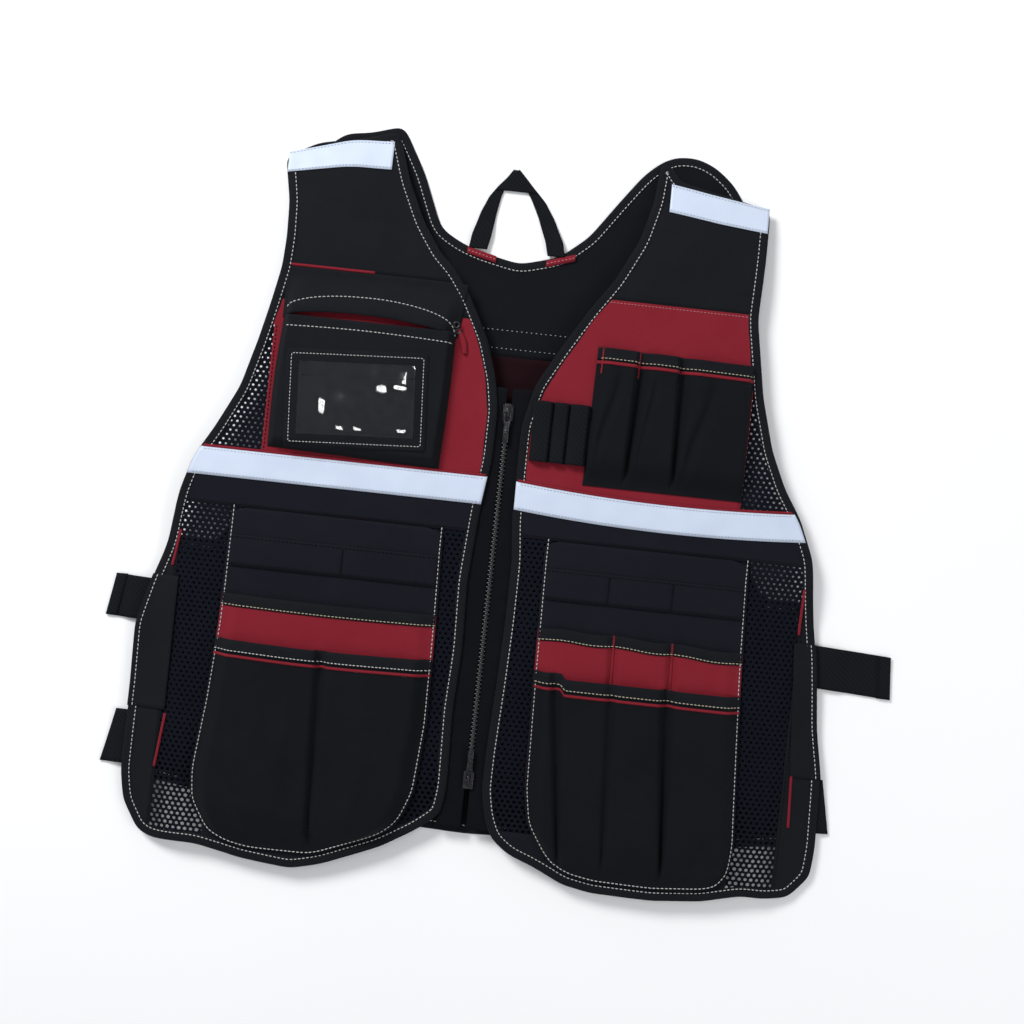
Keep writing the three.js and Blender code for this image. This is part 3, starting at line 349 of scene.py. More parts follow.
def along(path, closed):
    """Distance along a path at each of its points, with the last one for a closed path's end."""
    points = np.vstack([path, path[:1]]) if closed else path
    steps = np.linalg.norm(np.diff(points, axis=0), axis=1)
    return points, np.concatenate([[0.0], np.cumsum(steps)])


def sample(points, distance, wanted):
    """The places along a path at those distances."""
    return np.stack([np.interp(wanted, distance, points[:, k]) for k in range(points.shape[1])], axis=1)


def resample(path, step, closed=False):
    points, distance = along(np.asarray(path, float), closed)
    count = max(3, int(round(distance[-1] / step)))
    wanted = np.linspace(0, distance[-1], count + 1)
    return sample(points, distance, wanted[:-1] if closed else wanted)


def soften(path, reach, step=3.0, closed=False):
    """The path with its corners rounded over about that reach."""
    points = resample(path, step, closed)
    half = max(1, int(2.5 * reach / step))
    weights = np.exp(-0.5 * (np.arange(-half, half + 1) * step / reach) ** 2)
    weights /= weights.sum()
    if closed:
        return sum(w * np.roll(points, half - i, axis=0) for i, w in enumerate(weights))
    padded = np.vstack([2 * points[0] - points[half:0:-1], points, 2 * points[-1] - points[-2:-half - 2:-1]])
    return sum(w * padded[i:i + len(points)] for i, w in enumerate(weights))


def inward_of(loop):
    """Unit normals that point into an anticlockwise loop."""
    ahead = np.roll(loop, -1, axis=0) - np.roll(loop, 1, axis=0)
    ahead = ahead / np.maximum(1e-9, np.linalg.norm(ahead, axis=1))[:, None]
    return np.stack([-ahead[:, 1], ahead[:, 0]], axis=1)


def depth_in(points, loop):
    """How far each point is inside an anticlockwise loop, and the loop's nearest point."""
    a, b = loop, np.roll(loop, -1, axis=0)
    ab = b - a
    best = np.full(len(points), 1e9)
    nearest = np.zeros((len(points), 2))
    inside = np.zeros(len(points), bool)
    for (ax, ay), (bx, by), (dx, dy) in zip(a, b, ab):
        px, py = points[:, 0] - ax, points[:, 1] - ay
        t = clamp((px * dx + py * dy) / max(1e-9, dx * dx + dy * dy))
        qx, qy = px - t * dx, py - t * dy
        distance = np.hypot(qx, qy)
        closer = distance < best
        best = np.where(closer, distance, best)
        nearest[closer] = np.stack([points[:, 0] - qx, points[:, 1] - qy], axis=1)[closer]
        crosses = (ay > points[:, 1]) != (by > points[:, 1])
        if dy != 0:
            inside ^= crosses & (px < dx * (points[:, 1] - ay) / dy)
    return np.where(inside, best, -best), nearest


def span_at(loop, y):
    """The lowest and highest X of a loop at a height."""
    ax, ay = loop[:, 0], loop[:, 1]
    bx, by = np.roll(ax, -1), np.roll(ay, -1)
    cut = (ay > y) != (by > y)
    xs = ax[cut] + (bx[cut] - ax[cut]) * (y - ay[cut]) / (by[cut] - ay[cut])
    return (xs.min(), xs.max()) if len(xs) else (np.nan, np.nan)


def outline(node, reach):
    """A node's outline, softened and anticlockwise."""
    loop = soften(loops_of(node)[0], reach, closed=True)
    return loop if area_of(loop) > 0 else loop[::-1]


FRONTS = {side: outline(f"edge_binding_{name}", 5.0) for side, name in SIDES.items()}
BACK = outline("back_binding", 6.0)
PANELS = {side: outline(f"pocket_backing_{name}", 5.0) for side, name in SIDES.items()}


# Materials

def add_node(tree, kind, **values):
    """A node with each value on its input or property of that name, or with a socket linked to it."""
    node = tree.nodes.new(kind)
    for key, value in values.items():
        if key not in node.inputs:
            setattr(node, key, value)
        elif isinstance(value, bpy.types.NodeSocket):
            tree.links.new(value, node.inputs[key])
        else:
            node.inputs[key].default_value = value
    return node


def shader(name, color, roughness, sheen, specular, metallic=0.0):
    """A material, its node tree and the coordinates for its textures."""
    material = bpy.data.materials.new(name)
    material.use_nodes = True
    tree = material.node_tree
    values = {"Base Color": (*color, 1), "Roughness": roughness, "Metallic": metallic,
              "Specular IOR Level": specular, "Sheen Weight": sheen, "Sheen Roughness": 0.5}
    for key, value in values.items():
        tree.nodes["Principled BSDF"].inputs[key].default_value = value
    return material, tree, add_node(tree, "ShaderNodeTexCoord").outputs["Object"]


def drive(tree, name, socket):
    """Links a socket to the shader's input of that name."""
    tree.links.new(socket, tree.nodes["Principled BSDF"].inputs[name])


def math_node(tree, operation, a, b):
    node = add_node(tree, "ShaderNodeMath", operation=operation)
    for place, value in zip(node.inputs, (a, b)):
        if isinstance(value, bpy.types.NodeSocket):
            tree.links.new(value, place)
        else:
            place.default_value = value
    return node.outputs[0]


def weighted(tree, *terms):
    """The sum of sockets times their weights."""
    total, *others = (math_node(tree, "MULTIPLY", socket, weight) for socket, weight in terms)
    for other in others:
        total = math_node(tree, "ADD", total, other)
    return total


def noise(tree, where, scale, detail=2.0, roughness=0.5):
    values = {"Vector": where, "Scale": scale, "Detail": detail, "Roughness": roughness}
    return add_node(tree, "ShaderNodeTexNoise", **values).outputs["Fac"]


def bands(tree, where, direction, width, **values):
    """Sine bands of that width in millimetres across a direction."""
    scale = math.pi / (10 * width * MM)
    return add_node(tree, "ShaderNodeTexWave", bands_direction=direction, Vector=where, Scale=scale,
                    **values).outputs["Fac"]


def weave(tree, where, thread):
    """Threads that cross, a little uneven."""
    uneven = {"Distortion": 0.6, "Detail Scale": 1.5}
    return math_node(tree, "MULTIPLY", bands(tree, where, "X", thread, **uneven),
                     bands(tree, where, "Y", thread, **uneven))


def color_by(tree, factor, first, second):
    mixed = add_node(tree, "ShaderNodeMix", data_type="RGBA", Factor=factor, A=(*first, 1), B=(*second, 1))
    drive(tree, "Base Color", mixed.outputs["Result"])


def emboss(tree, height, distance, **values):
    relief_node = add_node(tree, "ShaderNodeBump", Height=height, Distance=distance * MM, **values)
    drive(tree, "Normal", relief_node.outputs["Normal"])


def roughen(tree, factor, gain, start):
    drive(tree, "Roughness", math_node(tree, "ADD", math_node(tree, "MULTIPLY", factor, gain), start))


CLOTH_ROUGHNESS = 0.85
CLOTH_SHEEN = 0.015


def woven(name, color, second, thread=0.8, twill=0.0, bump=0.3, specular=0.1, mottle=0.35, turn=0.0):
    """Woven cloth: threads that cross, a mottled colour, and worn patches that are a little paler."""
    material, tree, where = shader(name, color, CLOTH_ROUGHNESS, CLOTH_SHEEN, specular)
    place = add_node(tree, "ShaderNodeMapping", Vector=where, Rotation=(0, 0, turn)).outputs["Vector"]
    checks = weave(tree, place, thread)
    if twill:
        checks = weighted(tree, (checks, 0.4), (bands(tree, place, "DIAGONAL", twill), 1.0))
    cloud = noise(tree, where, 28, 6, 0.65)
    grain = noise(tree, where, 900, 3)
    color_by(tree, weighted(tree, (cloud, mottle), (checks, 0.45), (grain, 0.25)), color, second)
    emboss(tree, weighted(tree, (checks, 1.0), (grain, 0.5)), bump, Strength=0.6)
    roughen(tree, cloud, -0.2, CLOTH_ROUGHNESS + 0.1)
    return material


def sewing_thread(name, color, second, mottle=0.5):
    return woven(name, color, second, thread=0.4, bump=0.1, mottle=mottle)


def hard(name, color, roughness, wear, metallic=0.0, scale=300):
    """Moulded or plated surface with fine grain and small worn spots."""
    material, tree, where = shader(name, color, roughness, 0.0, 0.5, metallic)
    spots = noise(tree, where, scale, 5)
    color_by(tree, math_node(tree, "POWER", spots, 4.0), color, wear)
    roughen(tree, spots, 0.2, roughness - 0.1)
    emboss(tree, spots, 0.03)
    return material
BLACK_CLOTH = woven("black_cloth", (0.0034, 0.0042, 0.0060), (0.0092, 0.0108, 0.0140))
# A darker copy of the black cloth for the lower pockets and the tool pocket: painted shade that offsets the
# extra light the raised pockets catch
POCKET_CLOTH_PAINTED_SHADE = woven("pocket_cloth", (0.0023, 0.0029, 0.0043), (0.0062, 0.0074, 0.0098))
# A darker copy of the black cloth for the back: painted shade for the back that lies under the fronts and
# shows inside the neck
BACK_BLACK_PAINTED_SHADE = woven("back_cloth", (0.0023, 0.0029, 0.0042), (0.0064, 0.0075, 0.0098))
NAVY_CLOTH = woven("navy_cloth", (0.0040, 0.0040, 0.0078), (0.0095, 0.0095, 0.0160))
RED_CLOTH = woven("red_cloth", (0.148, 0.0052, 0.0130), (0.240, 0.0125, 0.0245), mottle=0.3, specular=0.2)
# The back's red, far darker than the red cloth: painted shade for the back's chest, which lies in shadow
# inside the neck
BACK_RED_PAINTED_SHADE = woven("back_red_cloth", (0.0062, 0.0006, 0.0019), (0.0130, 0.0015, 0.0037))
BINDING = woven("binding_cloth", (0.0028, 0.0032, 0.0046), (0.0085, 0.0093, 0.0122), 0.7, 1.6, turn=0.4)
WEBBING = woven("webbing", (0.0022, 0.0025, 0.0038), (0.0070, 0.0078, 0.0105), 1.1, 2.2, bump=0.4)
NET = woven("net_yarn", (0.0012, 0.0016, 0.0046), (0.0040, 0.0052, 0.0120), 0.5, bump=0.15)
ZIP_TAPE = woven("zip_tape_cloth", (0.0011, 0.0012, 0.0023), (0.0030, 0.0033, 0.0053), 0.7, 1.4)
THREAD_WHITE = sewing_thread("white_thread", (0.40, 0.40, 0.40), (0.60, 0.60, 0.58))
THREAD_PALE = sewing_thread("pale_thread", (0.34, 0.31, 0.23), (0.50, 0.47, 0.36))
THREAD_PINK = sewing_thread("pink_thread", (0.38, 0.10, 0.13), (0.56, 0.24, 0.26))
THREAD_RED = sewing_thread("red_thread", (0.24, 0.012, 0.020), (0.36, 0.035, 0.045))
THREAD_DARK = sewing_thread("dark_thread", (0.0022, 0.0022, 0.0040), (0.0060, 0.0060, 0.0090), 0.35)
THREAD_GREY = sewing_thread("grey_thread", (0.30, 0.33, 0.38), (0.42, 0.45, 0.50), 0.35)
ZIP_CHAIN = hard("zip_chain", (0.003, 0.0033, 0.0045), 0.38, (0.035, 0.037, 0.042), scale=420)
ZIP_METAL = hard("zip_metal", (0.006, 0.006, 0.007), 0.28, (0.13, 0.13, 0.14), metallic=0.35)


def tape_material():
    """Retroreflective tape: a satin silver film with a fine lattice, greyer where it has been rubbed."""
    material, tree, where = shader("reflective_tape", (0.56, 0.63, 0.75), 0.38, 0.0, 0.4)
    lattice = weave(tree, where, 0.6)
    cloud = noise(tree, where, 45, 7)
    color_by(tree, weighted(tree, (cloud, 0.6), (lattice, 0.3)), (0.46, 0.53, 0.66), (0.59, 0.66, 0.78))
    emboss(tree, lattice, 0.08, Strength=0.4)
    roughen(tree, cloud, 0.25, 0.28)
    return material


def film_material():
    """Clear flexible film with faint clouding."""
    material, tree, where = shader("clear_film", (0.012, 0.013, 0.015), 0.06, 0.0, 0.45)
    tree.nodes["Principled BSDF"].inputs["Alpha"].default_value = 0.5
    cloud = noise(tree, where, 120)
    roughen(tree, cloud, 0.08, 0.03)
    color_by(tree, cloud, (0.008, 0.009, 0.011), (0.026, 0.028, 0.033))
    return material


TAPE = tape_material()
FILM = film_material()


# Stitching

# A stitch's cross-section, and its stations along: place, swell and rise
SECTION = [(0.0, 1.0), (1.0, 0.15), (0.0, -0.6), (-1.0, 0.15)]
STATIONS = [(-1.0, 0.25, -0.45), (-0.55, 0.9, 0.05), (0.0, 1.0, 0.22), (0.55, 0.9, 0.05), (1.0, 0.25, -0.45)]
stitches = {}


def stitch(group, path, surface, material, pitch=STITCH_PITCH, length=STITCH_LENGTH, width=STITCH_WIDTH,
           lift=0.25):
    """Single stitches along a flat path, on the surface's height, gathered by group and thread."""
    path = np.asarray(path, float)
    points, distance = along(path, False)
    count = int(distance[-1] // pitch)
    if count < 1:
        return
    middles = (np.arange(count) + 0.5) * distance[-1] / count
    middles = middles + RANDOM.uniform(-0.18, 0.18, count)
    start, end = (sample(points, distance, middles + way * length / 2) for way in (-1, 1))
    ahead = end - start
    reach = np.linalg.norm(ahead, axis=1)
    keep = reach > 0.3 * length
    start, end, ahead, reach = start[keep], end[keep], ahead[keep], reach[keep]
    ahead = ahead / reach[:, None]
    angle = RANDOM.uniform(-0.07, 0.07, len(ahead))
    ahead = np.stack([ahead[:, 0] * np.cos(angle) - ahead[:, 1] * np.sin(angle),
                      ahead[:, 0] * np.sin(angle) + ahead[:, 1] * np.cos(angle)], axis=1)
    beside = np.stack([-ahead[:, 1], ahead[:, 0]], axis=1)
    middle = (start + end) / 2
    points_out, faces_out = stitches.setdefault((group, material.name), ([], []))
    base = len(points_out)
    rings = []
    for share, swell, rise in STATIONS:
        centre = middle + ahead * (share * length / 2)
        height = surface(centre[:, 0], centre[:, 1]) + lift + rise * 0.8
        for sx, sz in SECTION:
            flat = centre + beside * (sx * swell * width / 2)
            rings.append(np.column_stack([flat, height + sz * swell * width / 2]))
    block = np.stack(rings, axis=1)
    n = len(SECTION)
    per = len(STATIONS) * n
    points_out.extend(block.reshape(-1, 3).tolist())
    pattern = [(r * n + k, r * n + (k + 1) % n, (r + 1) * n + (k + 1) % n, (r + 1) * n + k)
               for r in range(len(STATIONS) - 1) for k in range(n)]
    pattern += [tuple(reversed(range(n))), tuple(range(per - n, per))]
    for i in range(len(block)):
        faces_out.extend([tuple(base + i * per + v for v in face) for face in pattern])


TACK_STEP = 0.9
TACK_LEAN = 0.45


def bar_tack(group, start, end, surface, material, width=2.2):
    """A dense zigzag that fastens two layers, as a row of short threads across the line."""
    (ax, ay), (bx, by) = start, end
    length = math.hypot(bx - ax, by - ay)
    ux, uy = (bx - ax) / length, (by - ay) / length
    for i in range(int(length / TACK_STEP)):
        x, y = ax + ux * i * TACK_STEP, ay + uy * i * TACK_STEP
        lean = TACK_LEAN if i % 2 else -TACK_LEAN
        near = (x - uy * width / 2, y + ux * width / 2)
        far = (x + uy * width / 2 + ux * lean, y - ux * width / 2 + uy * lean)
        stitch(group, [near, far], surface, material, width * 0.98, width, 0.8, 0.5)


def sew():
    """Makes one object of each group's stitches in each thread."""
    for (group, thread), (points, faces) in stitches.items():
        name = f"stitches_{group}_{thread}"
        piece(name, points, faces, bpy.data.materials[thread])


# Shells: the panels of the fronts and the back between the bindings

SHELL_CELL = 4.0
SHELL_INSET = 3.0


def order(area):
    x0, y0, x1, y1 = area
    return min(x0, x1), y0, max(x0, x1), y1


def lines_through(low, high, stop=None):
    """Grid lines about a cell apart, one of them on the stop."""
    ends = sorted({low, high} | ({stop} if stop is not None and low < stop < high else set()))
    parts = [np.linspace(a, b, max(2, int((b - a) / SHELL_CELL) + 1)) for a, b in zip(ends[:-1], ends[1:])]
    return np.unique(np.concatenate(parts))


def shell(name, loop, area, surface, material, nodes, slot, corner=None):
    """A panel inside a loop and a rectangle, with its edge drawn along the loop's inside.

    The corner, if there is one, is left out: what is farther out than its X and below its Y.
    """
    x0, y0, x1, y1 = order(area)
    corner_x, corner_y = corner or (None, None)
    xs = lines_through(x0, x1, corner_x)
    ys = lines_through(y0, y1, corner_y)
    grid = np.stack(np.meshgrid(xs, ys), axis=-1)
    flat = grid.reshape(-1, 2).copy()
    depth, nearest = depth_in(flat, loop)
    centres = (grid[:-1, :-1] + grid[1:, 1:]).reshape(-1, 2) / 2
    keep = depth_in(centres, loop)[0] > SHELL_INSET
    if corner:
        keep &= ~((centres[:, 0] / corner_x > 1) & (centres[:, 1] < corner_y))
    inwards = (flat - nearest) / np.maximum(1e-9, np.abs(depth))[:, None] * np.sign(depth)[:, None]
    moved = nearest + inwards * SHELL_INSET
    moves = (depth < SHELL_INSET) & (np.abs(depth) > 1e-6)
    moves &= (moved[:, 0] >= x0 - 0.01) & (moved[:, 0] <= x1 + 0.01)
    moves &= (moved[:, 1] >= y0 - 0.01) & (moved[:, 1] <= y1 + 0.01)
    moves &= np.linalg.norm(moved - flat, axis=1) < 2 * SHELL_CELL
    flat[moves] = moved[moves]
    faces = grid_faces(len(ys), len(xs))[keep]
    used = np.unique(faces)
    index = np.zeros(len(flat), int)
    index[used] = np.arange(len(used))
    flat = flat[used]
    points = np.column_stack([flat, surface(flat[:, 0], flat[:, 1])])
    faces = index[faces]
    obj = thicken(piece(name, points, faces, material, nodes=nodes, slot=slot), 1.0)
    return lay(obj, points, faces)


NET_PITCH_X = 5.2
NET_PITCH_Y = 4.1
# Holes as a share of the mesh: kept small, and smaller still higher up, so that less of the pale floor shows
# through. This is painted shade for the floor under the raised vest
NET_HOLE = 0.56
NET_HOLE_ABOVE_PAINTED_SHADE = 0.38
NET_MARGIN = 4.5
NET_DROP = 0.5


def net(name, holds, area, nodes):
    """Knitted net on a front: six-sided meshes round holes in staggered rows, where holds says so."""
    x0, y0, x1, y1 = order(area)
    rows = int((y1 - y0) / NET_PITCH_Y)
    columns = int((x1 - x0) / NET_PITCH_X)
    centres = [(x0 + (i + 0.5 * (j % 2)) * NET_PITCH_X, y0 + j * NET_PITCH_Y)
               for j in range(rows + 1) for i in range(columns + 1)]
    centres = np.array(centres)
    centres = centres[holds(centres)]
    w, h = NET_PITCH_X / 2, NET_PITCH_Y * 2 / 3
    corners = np.array([(0, -h), (w, -h / 2), (w, h / 2), (0, h), (-w, h / 2), (-w, -h / 2)])
    index, points, faces = {}, [], []

    def at(x, y):
        key = (round(x * 20), round(y * 20))
        if key not in index:
            index[key] = len(points)
            points.append((x, y))
        return index[key]

    for cx, cy in centres:
        outer = [at(cx + dx, cy + dy) for dx, dy in corners]
        first = len(points)
        # Smaller holes higher up: painted shade for the floor seen through the net
        hole = mix(NET_HOLE, NET_HOLE_ABOVE_PAINTED_SHADE, float(smooth((cy - 60) / 60)))
        hole *= 1 + 0.08 * math.sin(cx * 1.7 + cy * 2.3)
        points.extend((cx + dx * hole * 1.02, cy + dy * hole) for dx, dy in corners)
        for k in range(6):
            faces.append((outer[k], outer[(k + 1) % 6], first + (k + 1) % 6, first + k))
    flat = np.array(points)
    points = np.column_stack([flat, front_top(flat[:, 0], flat[:, 1]) - NET_DROP])
    obj = thicken(piece(name, points, faces, NET, nodes=nodes, slot="net"), 0.7)
    return lay(obj, points, faces)


# The binding's cross-section: share of its width from the edge, height and share of the pucker
BINDING_PROFILE = [
    (1.0, -0.35, 0), (0.93, 0.42, 1), (0.7, 0.62, 1), (0.42, 0.72, 1), (0.18, 0.55, 1), (0.05, 0.1, 0.6),
    (0.0, -0.5, 0.2), (0.05, -1.2, 0), (0.2, -1.55, 0), (0.6, -1.6, 0), (1.0, -1.55, 0),
]


def binding(name, loop, surface, nodes, group):
    """Tape folded round an edge: a bead that wraps the layers, with its seam line along the inside."""
    loop = resample(loop, 3.0, closed=True)
    inward = inward_of(loop)
    count = len(loop)
    lengths = np.arange(count) * 3.0
    wide = BINDING_WIDTH + 0.45 * np.sin(lengths / 23) + 0.3 * np.sin(lengths / 7.3 + 1)
    pucker = 0.16 * np.sin(lengths * 2 * math.pi / 11.5) + 0.1 * np.sin(lengths * 2 * math.pi / 7.7 + 2)
    rows = []
    for share, lift, puckered in BINDING_PROFILE:
        flat = loop + inward * (wide * share)[:, None]
        rows.append(np.column_stack([flat, surface(flat[:, 0], flat[:, 1]) + lift + pucker * puckered]))
    faces = grid_faces(len(rows), count, closed=True)[:, ::-1]
    closing = grid_faces(2, count, closed=True)
    last = (len(rows) - 1) * count
    closing = np.where(closing >= count, closing - count, closing + last)
    faces = np.vstack([faces, closing[:, ::-1]])
    piece(name, np.concatenate(rows), faces, BINDING, nodes=nodes, slot="binding")
    path = loop + inward * EDGE_STITCH
    stitch(group, np.vstack([path, path[:1]]), lambda x, y: surface(x, y) + 0.45, THREAD_WHITE)


def add_fronts():
    for side, name in SIDES.items():
        loop, panel = FRONTS[side], PANELS[side]
        far = side * FAR_X
        red_top = RED_TOP_Y[side]
        # Title, node, rectangle, material, slot and the node under it
        panels = [
            ("shoulder_cloth", "shoulder_panel", (0, CHEST_SEAM_Y, far, FRONT_FAR_Y), BLACK_CLOTH,
             "black_cloth", "back_yoke"),
            ("chest_cloth", "chest_panel", (0, TAPE_Y, far, red_top), RED_CLOTH, "red_cloth", "back_chest"),
            ("chest_cover", None, (0, red_top, far, CHEST_SEAM_Y), BLACK_CLOTH, "black_cloth", "back_chest"),
            ("yoke_cloth", "yoke_panel", (0, PANEL_TOP_Y, far, TAPE_Y), NAVY_CLOTH, "navy_cloth",
             "back_lower"),
            ("side_strip_cloth", "side_strip", (side * STRIP_X, STRIP_FOOT_Y, far, PANEL_TOP_Y),
             BLACK_CLOTH, "black_cloth", "back_lower"),
        ]
        hems = {"hem_cloth": HEM_CLOTH[side]}
        if side in HEM_CORNER:
            hems["hem_corner"] = HEM_CORNER[side]
        for title, (inner, outer, top) in hems.items():
            area = (side * inner, HEM_FOOT_Y, side * outer, top)
            panels.append((title, None, area, NAVY_CLOTH, "navy_cloth", "back_lower"))
        for title, node, area, material, slot, under in panels:
            if area[1] >= area[3]:
                continue
            nodes = [f"{node}_{name}"] if node else []
            corner = (side * GUSSET_X, GUSSET_TOP_Y) if title == "chest_cloth" else None
            shell(f"{title}_{name}", loop, area, front_top, material, nodes, slot, corner)

        def in_gusset(points):
            return depth_in(points, loop)[0] > NET_MARGIN

        def off_panel(points):
            x, y = np.abs(points[:, 0]), points[:, 1]
            outside = in_gusset(points) & (depth_in(points, panel)[0] < NET_MARGIN)
            for inner, outer, top in hems.values():
                outside &= ~((x > inner + 2) & (x < outer - 2) & (y < top - 2))
            return outside

        # Title, node, test, X from and to, Y from and to, and the node under it
        nets = [
            ("armhole_net", "armhole_mesh", in_gusset, GUSSET_X - 3, 262, TAPE_Y - 8, GUSSET_TOP_Y + 3,
             "back_chest"),
            ("side_net", "side_mesh", off_panel, PANEL_MIDDLE_X, STRIP_X + 4, NET_FOOT_Y, PANEL_TOP_Y + 4,
             "back_lower"),
            ("centre_net", "centre_mesh", off_panel, 8, PANEL_MIDDLE_X, NET_FOOT_Y, PANEL_TOP_Y + 4,
             "back_lower"),
        ]
        for title, node, holds, x0, x1, y0, y1, under in nets:
            net(f"{title}_{name}", holds, (side * x0, y0, side * x1, y1), [f"{node}_{name}"])
        binding(f"front_binding_{name}", loop, front_top, [f"edge_binding_{name}"], f"front_{name}")
        seam_stitches(side, name, loop)


def seam_stitches(side, name, loop):
    """Rows of stitches across the front: over the chest seam, the gusset and the net's edges."""
    group = f"front_{name}"
    if side > 0:
        low, high = edge_span(loop, CHEST_SEAM_Y, 9)
        path = level(np.linspace(low, high, 60), CHEST_SEAM_Y - 2.4)
        stitch(group, path, front_top, THREAD_PINK, 3.0, 2.2, 0.7)
    else:
        xs = np.linspace(-204, -128, 40)
        ys = np.full(40, CHEST_SEAM_Y + 1.0)
        rows = [np.column_stack([xs, ys + d, front_top(xs, ys) + z])
                for d, z in ((-1.4, 0.1), (0, 0.7), (1.2, 0.1))]
        cloth_grid("chest_seam_piping", np.array(rows), RED_CLOTH, 0.5, slot="red_cloth")
    y = PANEL_TOP_Y + 2.5
    stitch(group, level(np.linspace(*edge_span(loop, y, 9), 90), y), front_top, THREAD_DARK)
    for x, low, high in ((STRIP_X + 2, 20, PANEL_TOP_Y), (GUSSET_X - 2, TAPE_Y + 12, GUSSET_TOP_Y)):
        path = np.column_stack([np.full(80, side * x), np.linspace(low, high, 80)])
        stitch(group, path, front_top, THREAD_DARK)


def add_back():
    # The back's black and red are darker copies of the fronts' cloth: painted shade
    for title, low, high, material, slot, rests_on in (
            ("yoke", BACK_SEAM_Y, BACK_FAR_Y, BACK_BLACK_PAINTED_SHADE, "black_cloth", ["back_tape"]),
            ("chest", TAPE_Y, BACK_SEAM_Y, BACK_RED_PAINTED_SHADE, "red_cloth", []),
            ("lower", BACK_HEM_Y, TAPE_Y, BACK_BLACK_PAINTED_SHADE, "black_cloth", [])):
        shell(f"back_{title}_cloth", BACK, (-FAR_X, low, FAR_X, high), back_top, material, [f"back_{title}"],
              slot)
    tape_low, tape_high = box_mm("back_tape")
    rows = []
    for y in np.linspace(tape_low[1], tape_high[1], 5):
        xs = np.linspace(*edge_span(BACK, float(y), BINDING_WIDTH - 2), 60)
        rows.append(np.column_stack([level(xs, y), np.full(60, 0.85)]))
    cloth_grid("back_tape_cloth", np.array(rows), TAPE, 0.6, ["back_yoke"], nodes=["back_tape"],
               slot="reflective")
    binding("back_edge_binding", BACK, back_top, ["back_binding"], "back")
    for y, start, end in ((483, -62, 62), (467, -48, 58)):
        stitch("back", level(np.linspace(start, end, 60), y), back_top, THREAD_GREY, 4.2, 1.6, 0.7)


# Tapes, bands and piping

def edge_span(loop, y, margin):
    low, high = span_at(loop, y)
    return low + margin, high - margin


def band_grid(loop, y_of, heights, margin, surface, lift, columns=90):
    """Rows of points across a loop, at heights above a line."""
    grid = []
    for height in heights:
        low, high = edge_span(loop, float(y_of(0.0)) + height, margin)
        xs = np.linspace(low, high, columns)
        ys = y_of(xs) + height
        grid.append(np.column_stack([xs, ys, surface(xs, ys) + lift]))
    return np.array(grid)


def tape_line(side):
    """The height of the tape's middle line at each X."""
    sag = TAPE_SAG[side]
    return lambda x: TAPE_Y - 4 * sag * clamp(np.abs(x) / 300) * (1 - clamp(np.abs(x) / 300))


def add_tapes():
    half = TAPE_WIDTH / 2
    for side, name in SIDES.items():
        line = tape_line(side)
        loop = FRONTS[side]
        grid = band_grid(loop, line, np.linspace(-half, half, 9), 0.6, front_top, 1.35)
        grid[0, :, 2] -= 0.35
        grid[-1, :, 2] -= 0.35
        cloth_grid(f"chest_tape_cloth_{name}", grid, TAPE, 0.7, ["back_chest"], nodes=[f"chest_tape_{name}"],
                   slot="reflective")
        piping = band_grid(loop, line, [half - 0.4, half + 0.5, half + 1.4, half + 2.2], 2.0, front_top, 0.9)
        piping[1:3, :, 2] += 0.7
        cloth_grid(f"tape_piping_{name}", piping, RED_CLOTH, 0.7, slot="red_cloth")
        for height in (-half + 2.0, half - 2.0):
            xs = np.linspace(*edge_span(loop, float(line(0.0)) + height, 4), 80)
            path = np.column_stack([xs, line(xs) + height])
            stitch(f"tape_{name}", path, front_top, THREAD_GREY, 2.9, 2.0, 0.55, 1.5)
        add_shoulder_tape(side, name)


SHOULDER_TAPE = {
    -1: {"top": [(-214, 617), (-160, 634), (-124, 636)], "deep": [18, 24, 25]},
    1: {"top": [(208, 612), (165, 618), (121, 625)], "deep": [22, 24, 25]},
}


def add_shoulder_tape(side, name):
    rows = SHOULDER_TAPE[side]
    top = soften(np.array(rows["top"], float), 6.0, 2.0)
    top = top[np.argsort(top[:, 0])]
    places, deep = zip(*sorted(zip([side * x for x, _ in rows["top"]], rows["deep"])))
    depths = np.interp(top[:, 0] * side, places, deep)
    grid = []
    for share in np.linspace(1, 0, 9):
        ys = top[:, 1] - depths * share
        grid.append(np.column_stack([top[:, 0], ys, front_top(top[:, 0], ys) + 1.2]))
    cloth_grid(f"shoulder_tape_cloth_{name}", np.array(grid), TAPE, 0.7, ["back_yoke"],
               nodes=[f"shoulder_tape_{name}"], slot="reflective")
    for share in (0.07, 0.93):
        path = np.column_stack([top[:, 0], top[:, 1] - depths * share])
        stitch(f"tape_{name}", path, front_top, THREAD_GREY, 2.9, 2.0, 0.55, 1.35)


# Lower pockets

PANEL_LIFT = 1.3
PANEL_MARGIN = 0.8
SEAM_FOOT = 60.0
HEM = 10.0
POCKET_TOP = {"back": 228.0, "front": 189.0}
POCKET_DEPTH = {"back": 5.0, "front": 7.5}
# Seams that divide a pocket: the shares across at its foot and at its mouth
DIVIDERS = {
    (-1, "back"): [],
    (-1, "front"): [(0.578, 0.495)],
    (1, "back"): [(0.345, 0.345), (0.63, 0.63)],
    (1, "front"): [(0.348, 0.37), (0.834, 0.9)],
}


def panel_edges(side, ys, margin=0.0):
    """Outer and inner X of a pocket panel at each height."""
    spans = np.array([span_at(PANELS[side], float(y)) for y in ys])
    low, high = spans[:, 0] + margin, spans[:, 1] - margin
    return (low, high) if side < 0 else (high, low)


def arch(share, seams, edge, power):
    """0 on each seam and 1 between them, with steep sides; edge is the share that a side takes."""
    height = np.zeros_like(share)
    for a, b in zip(seams[:-1], seams[1:]):
        inside = (share >= a) & (share <= b)
        width = np.maximum(1e-6, b - a)
        u = clamp((share - a) / width)
        near = np.minimum(u, 1 - u) * width
        rise = clamp(near / edge) ** power
        crown = 0.82 + 0.18 * np.sin(math.pi * u)
        height = np.where(inside, np.minimum(1.0, rise) * crown, height)
    return height


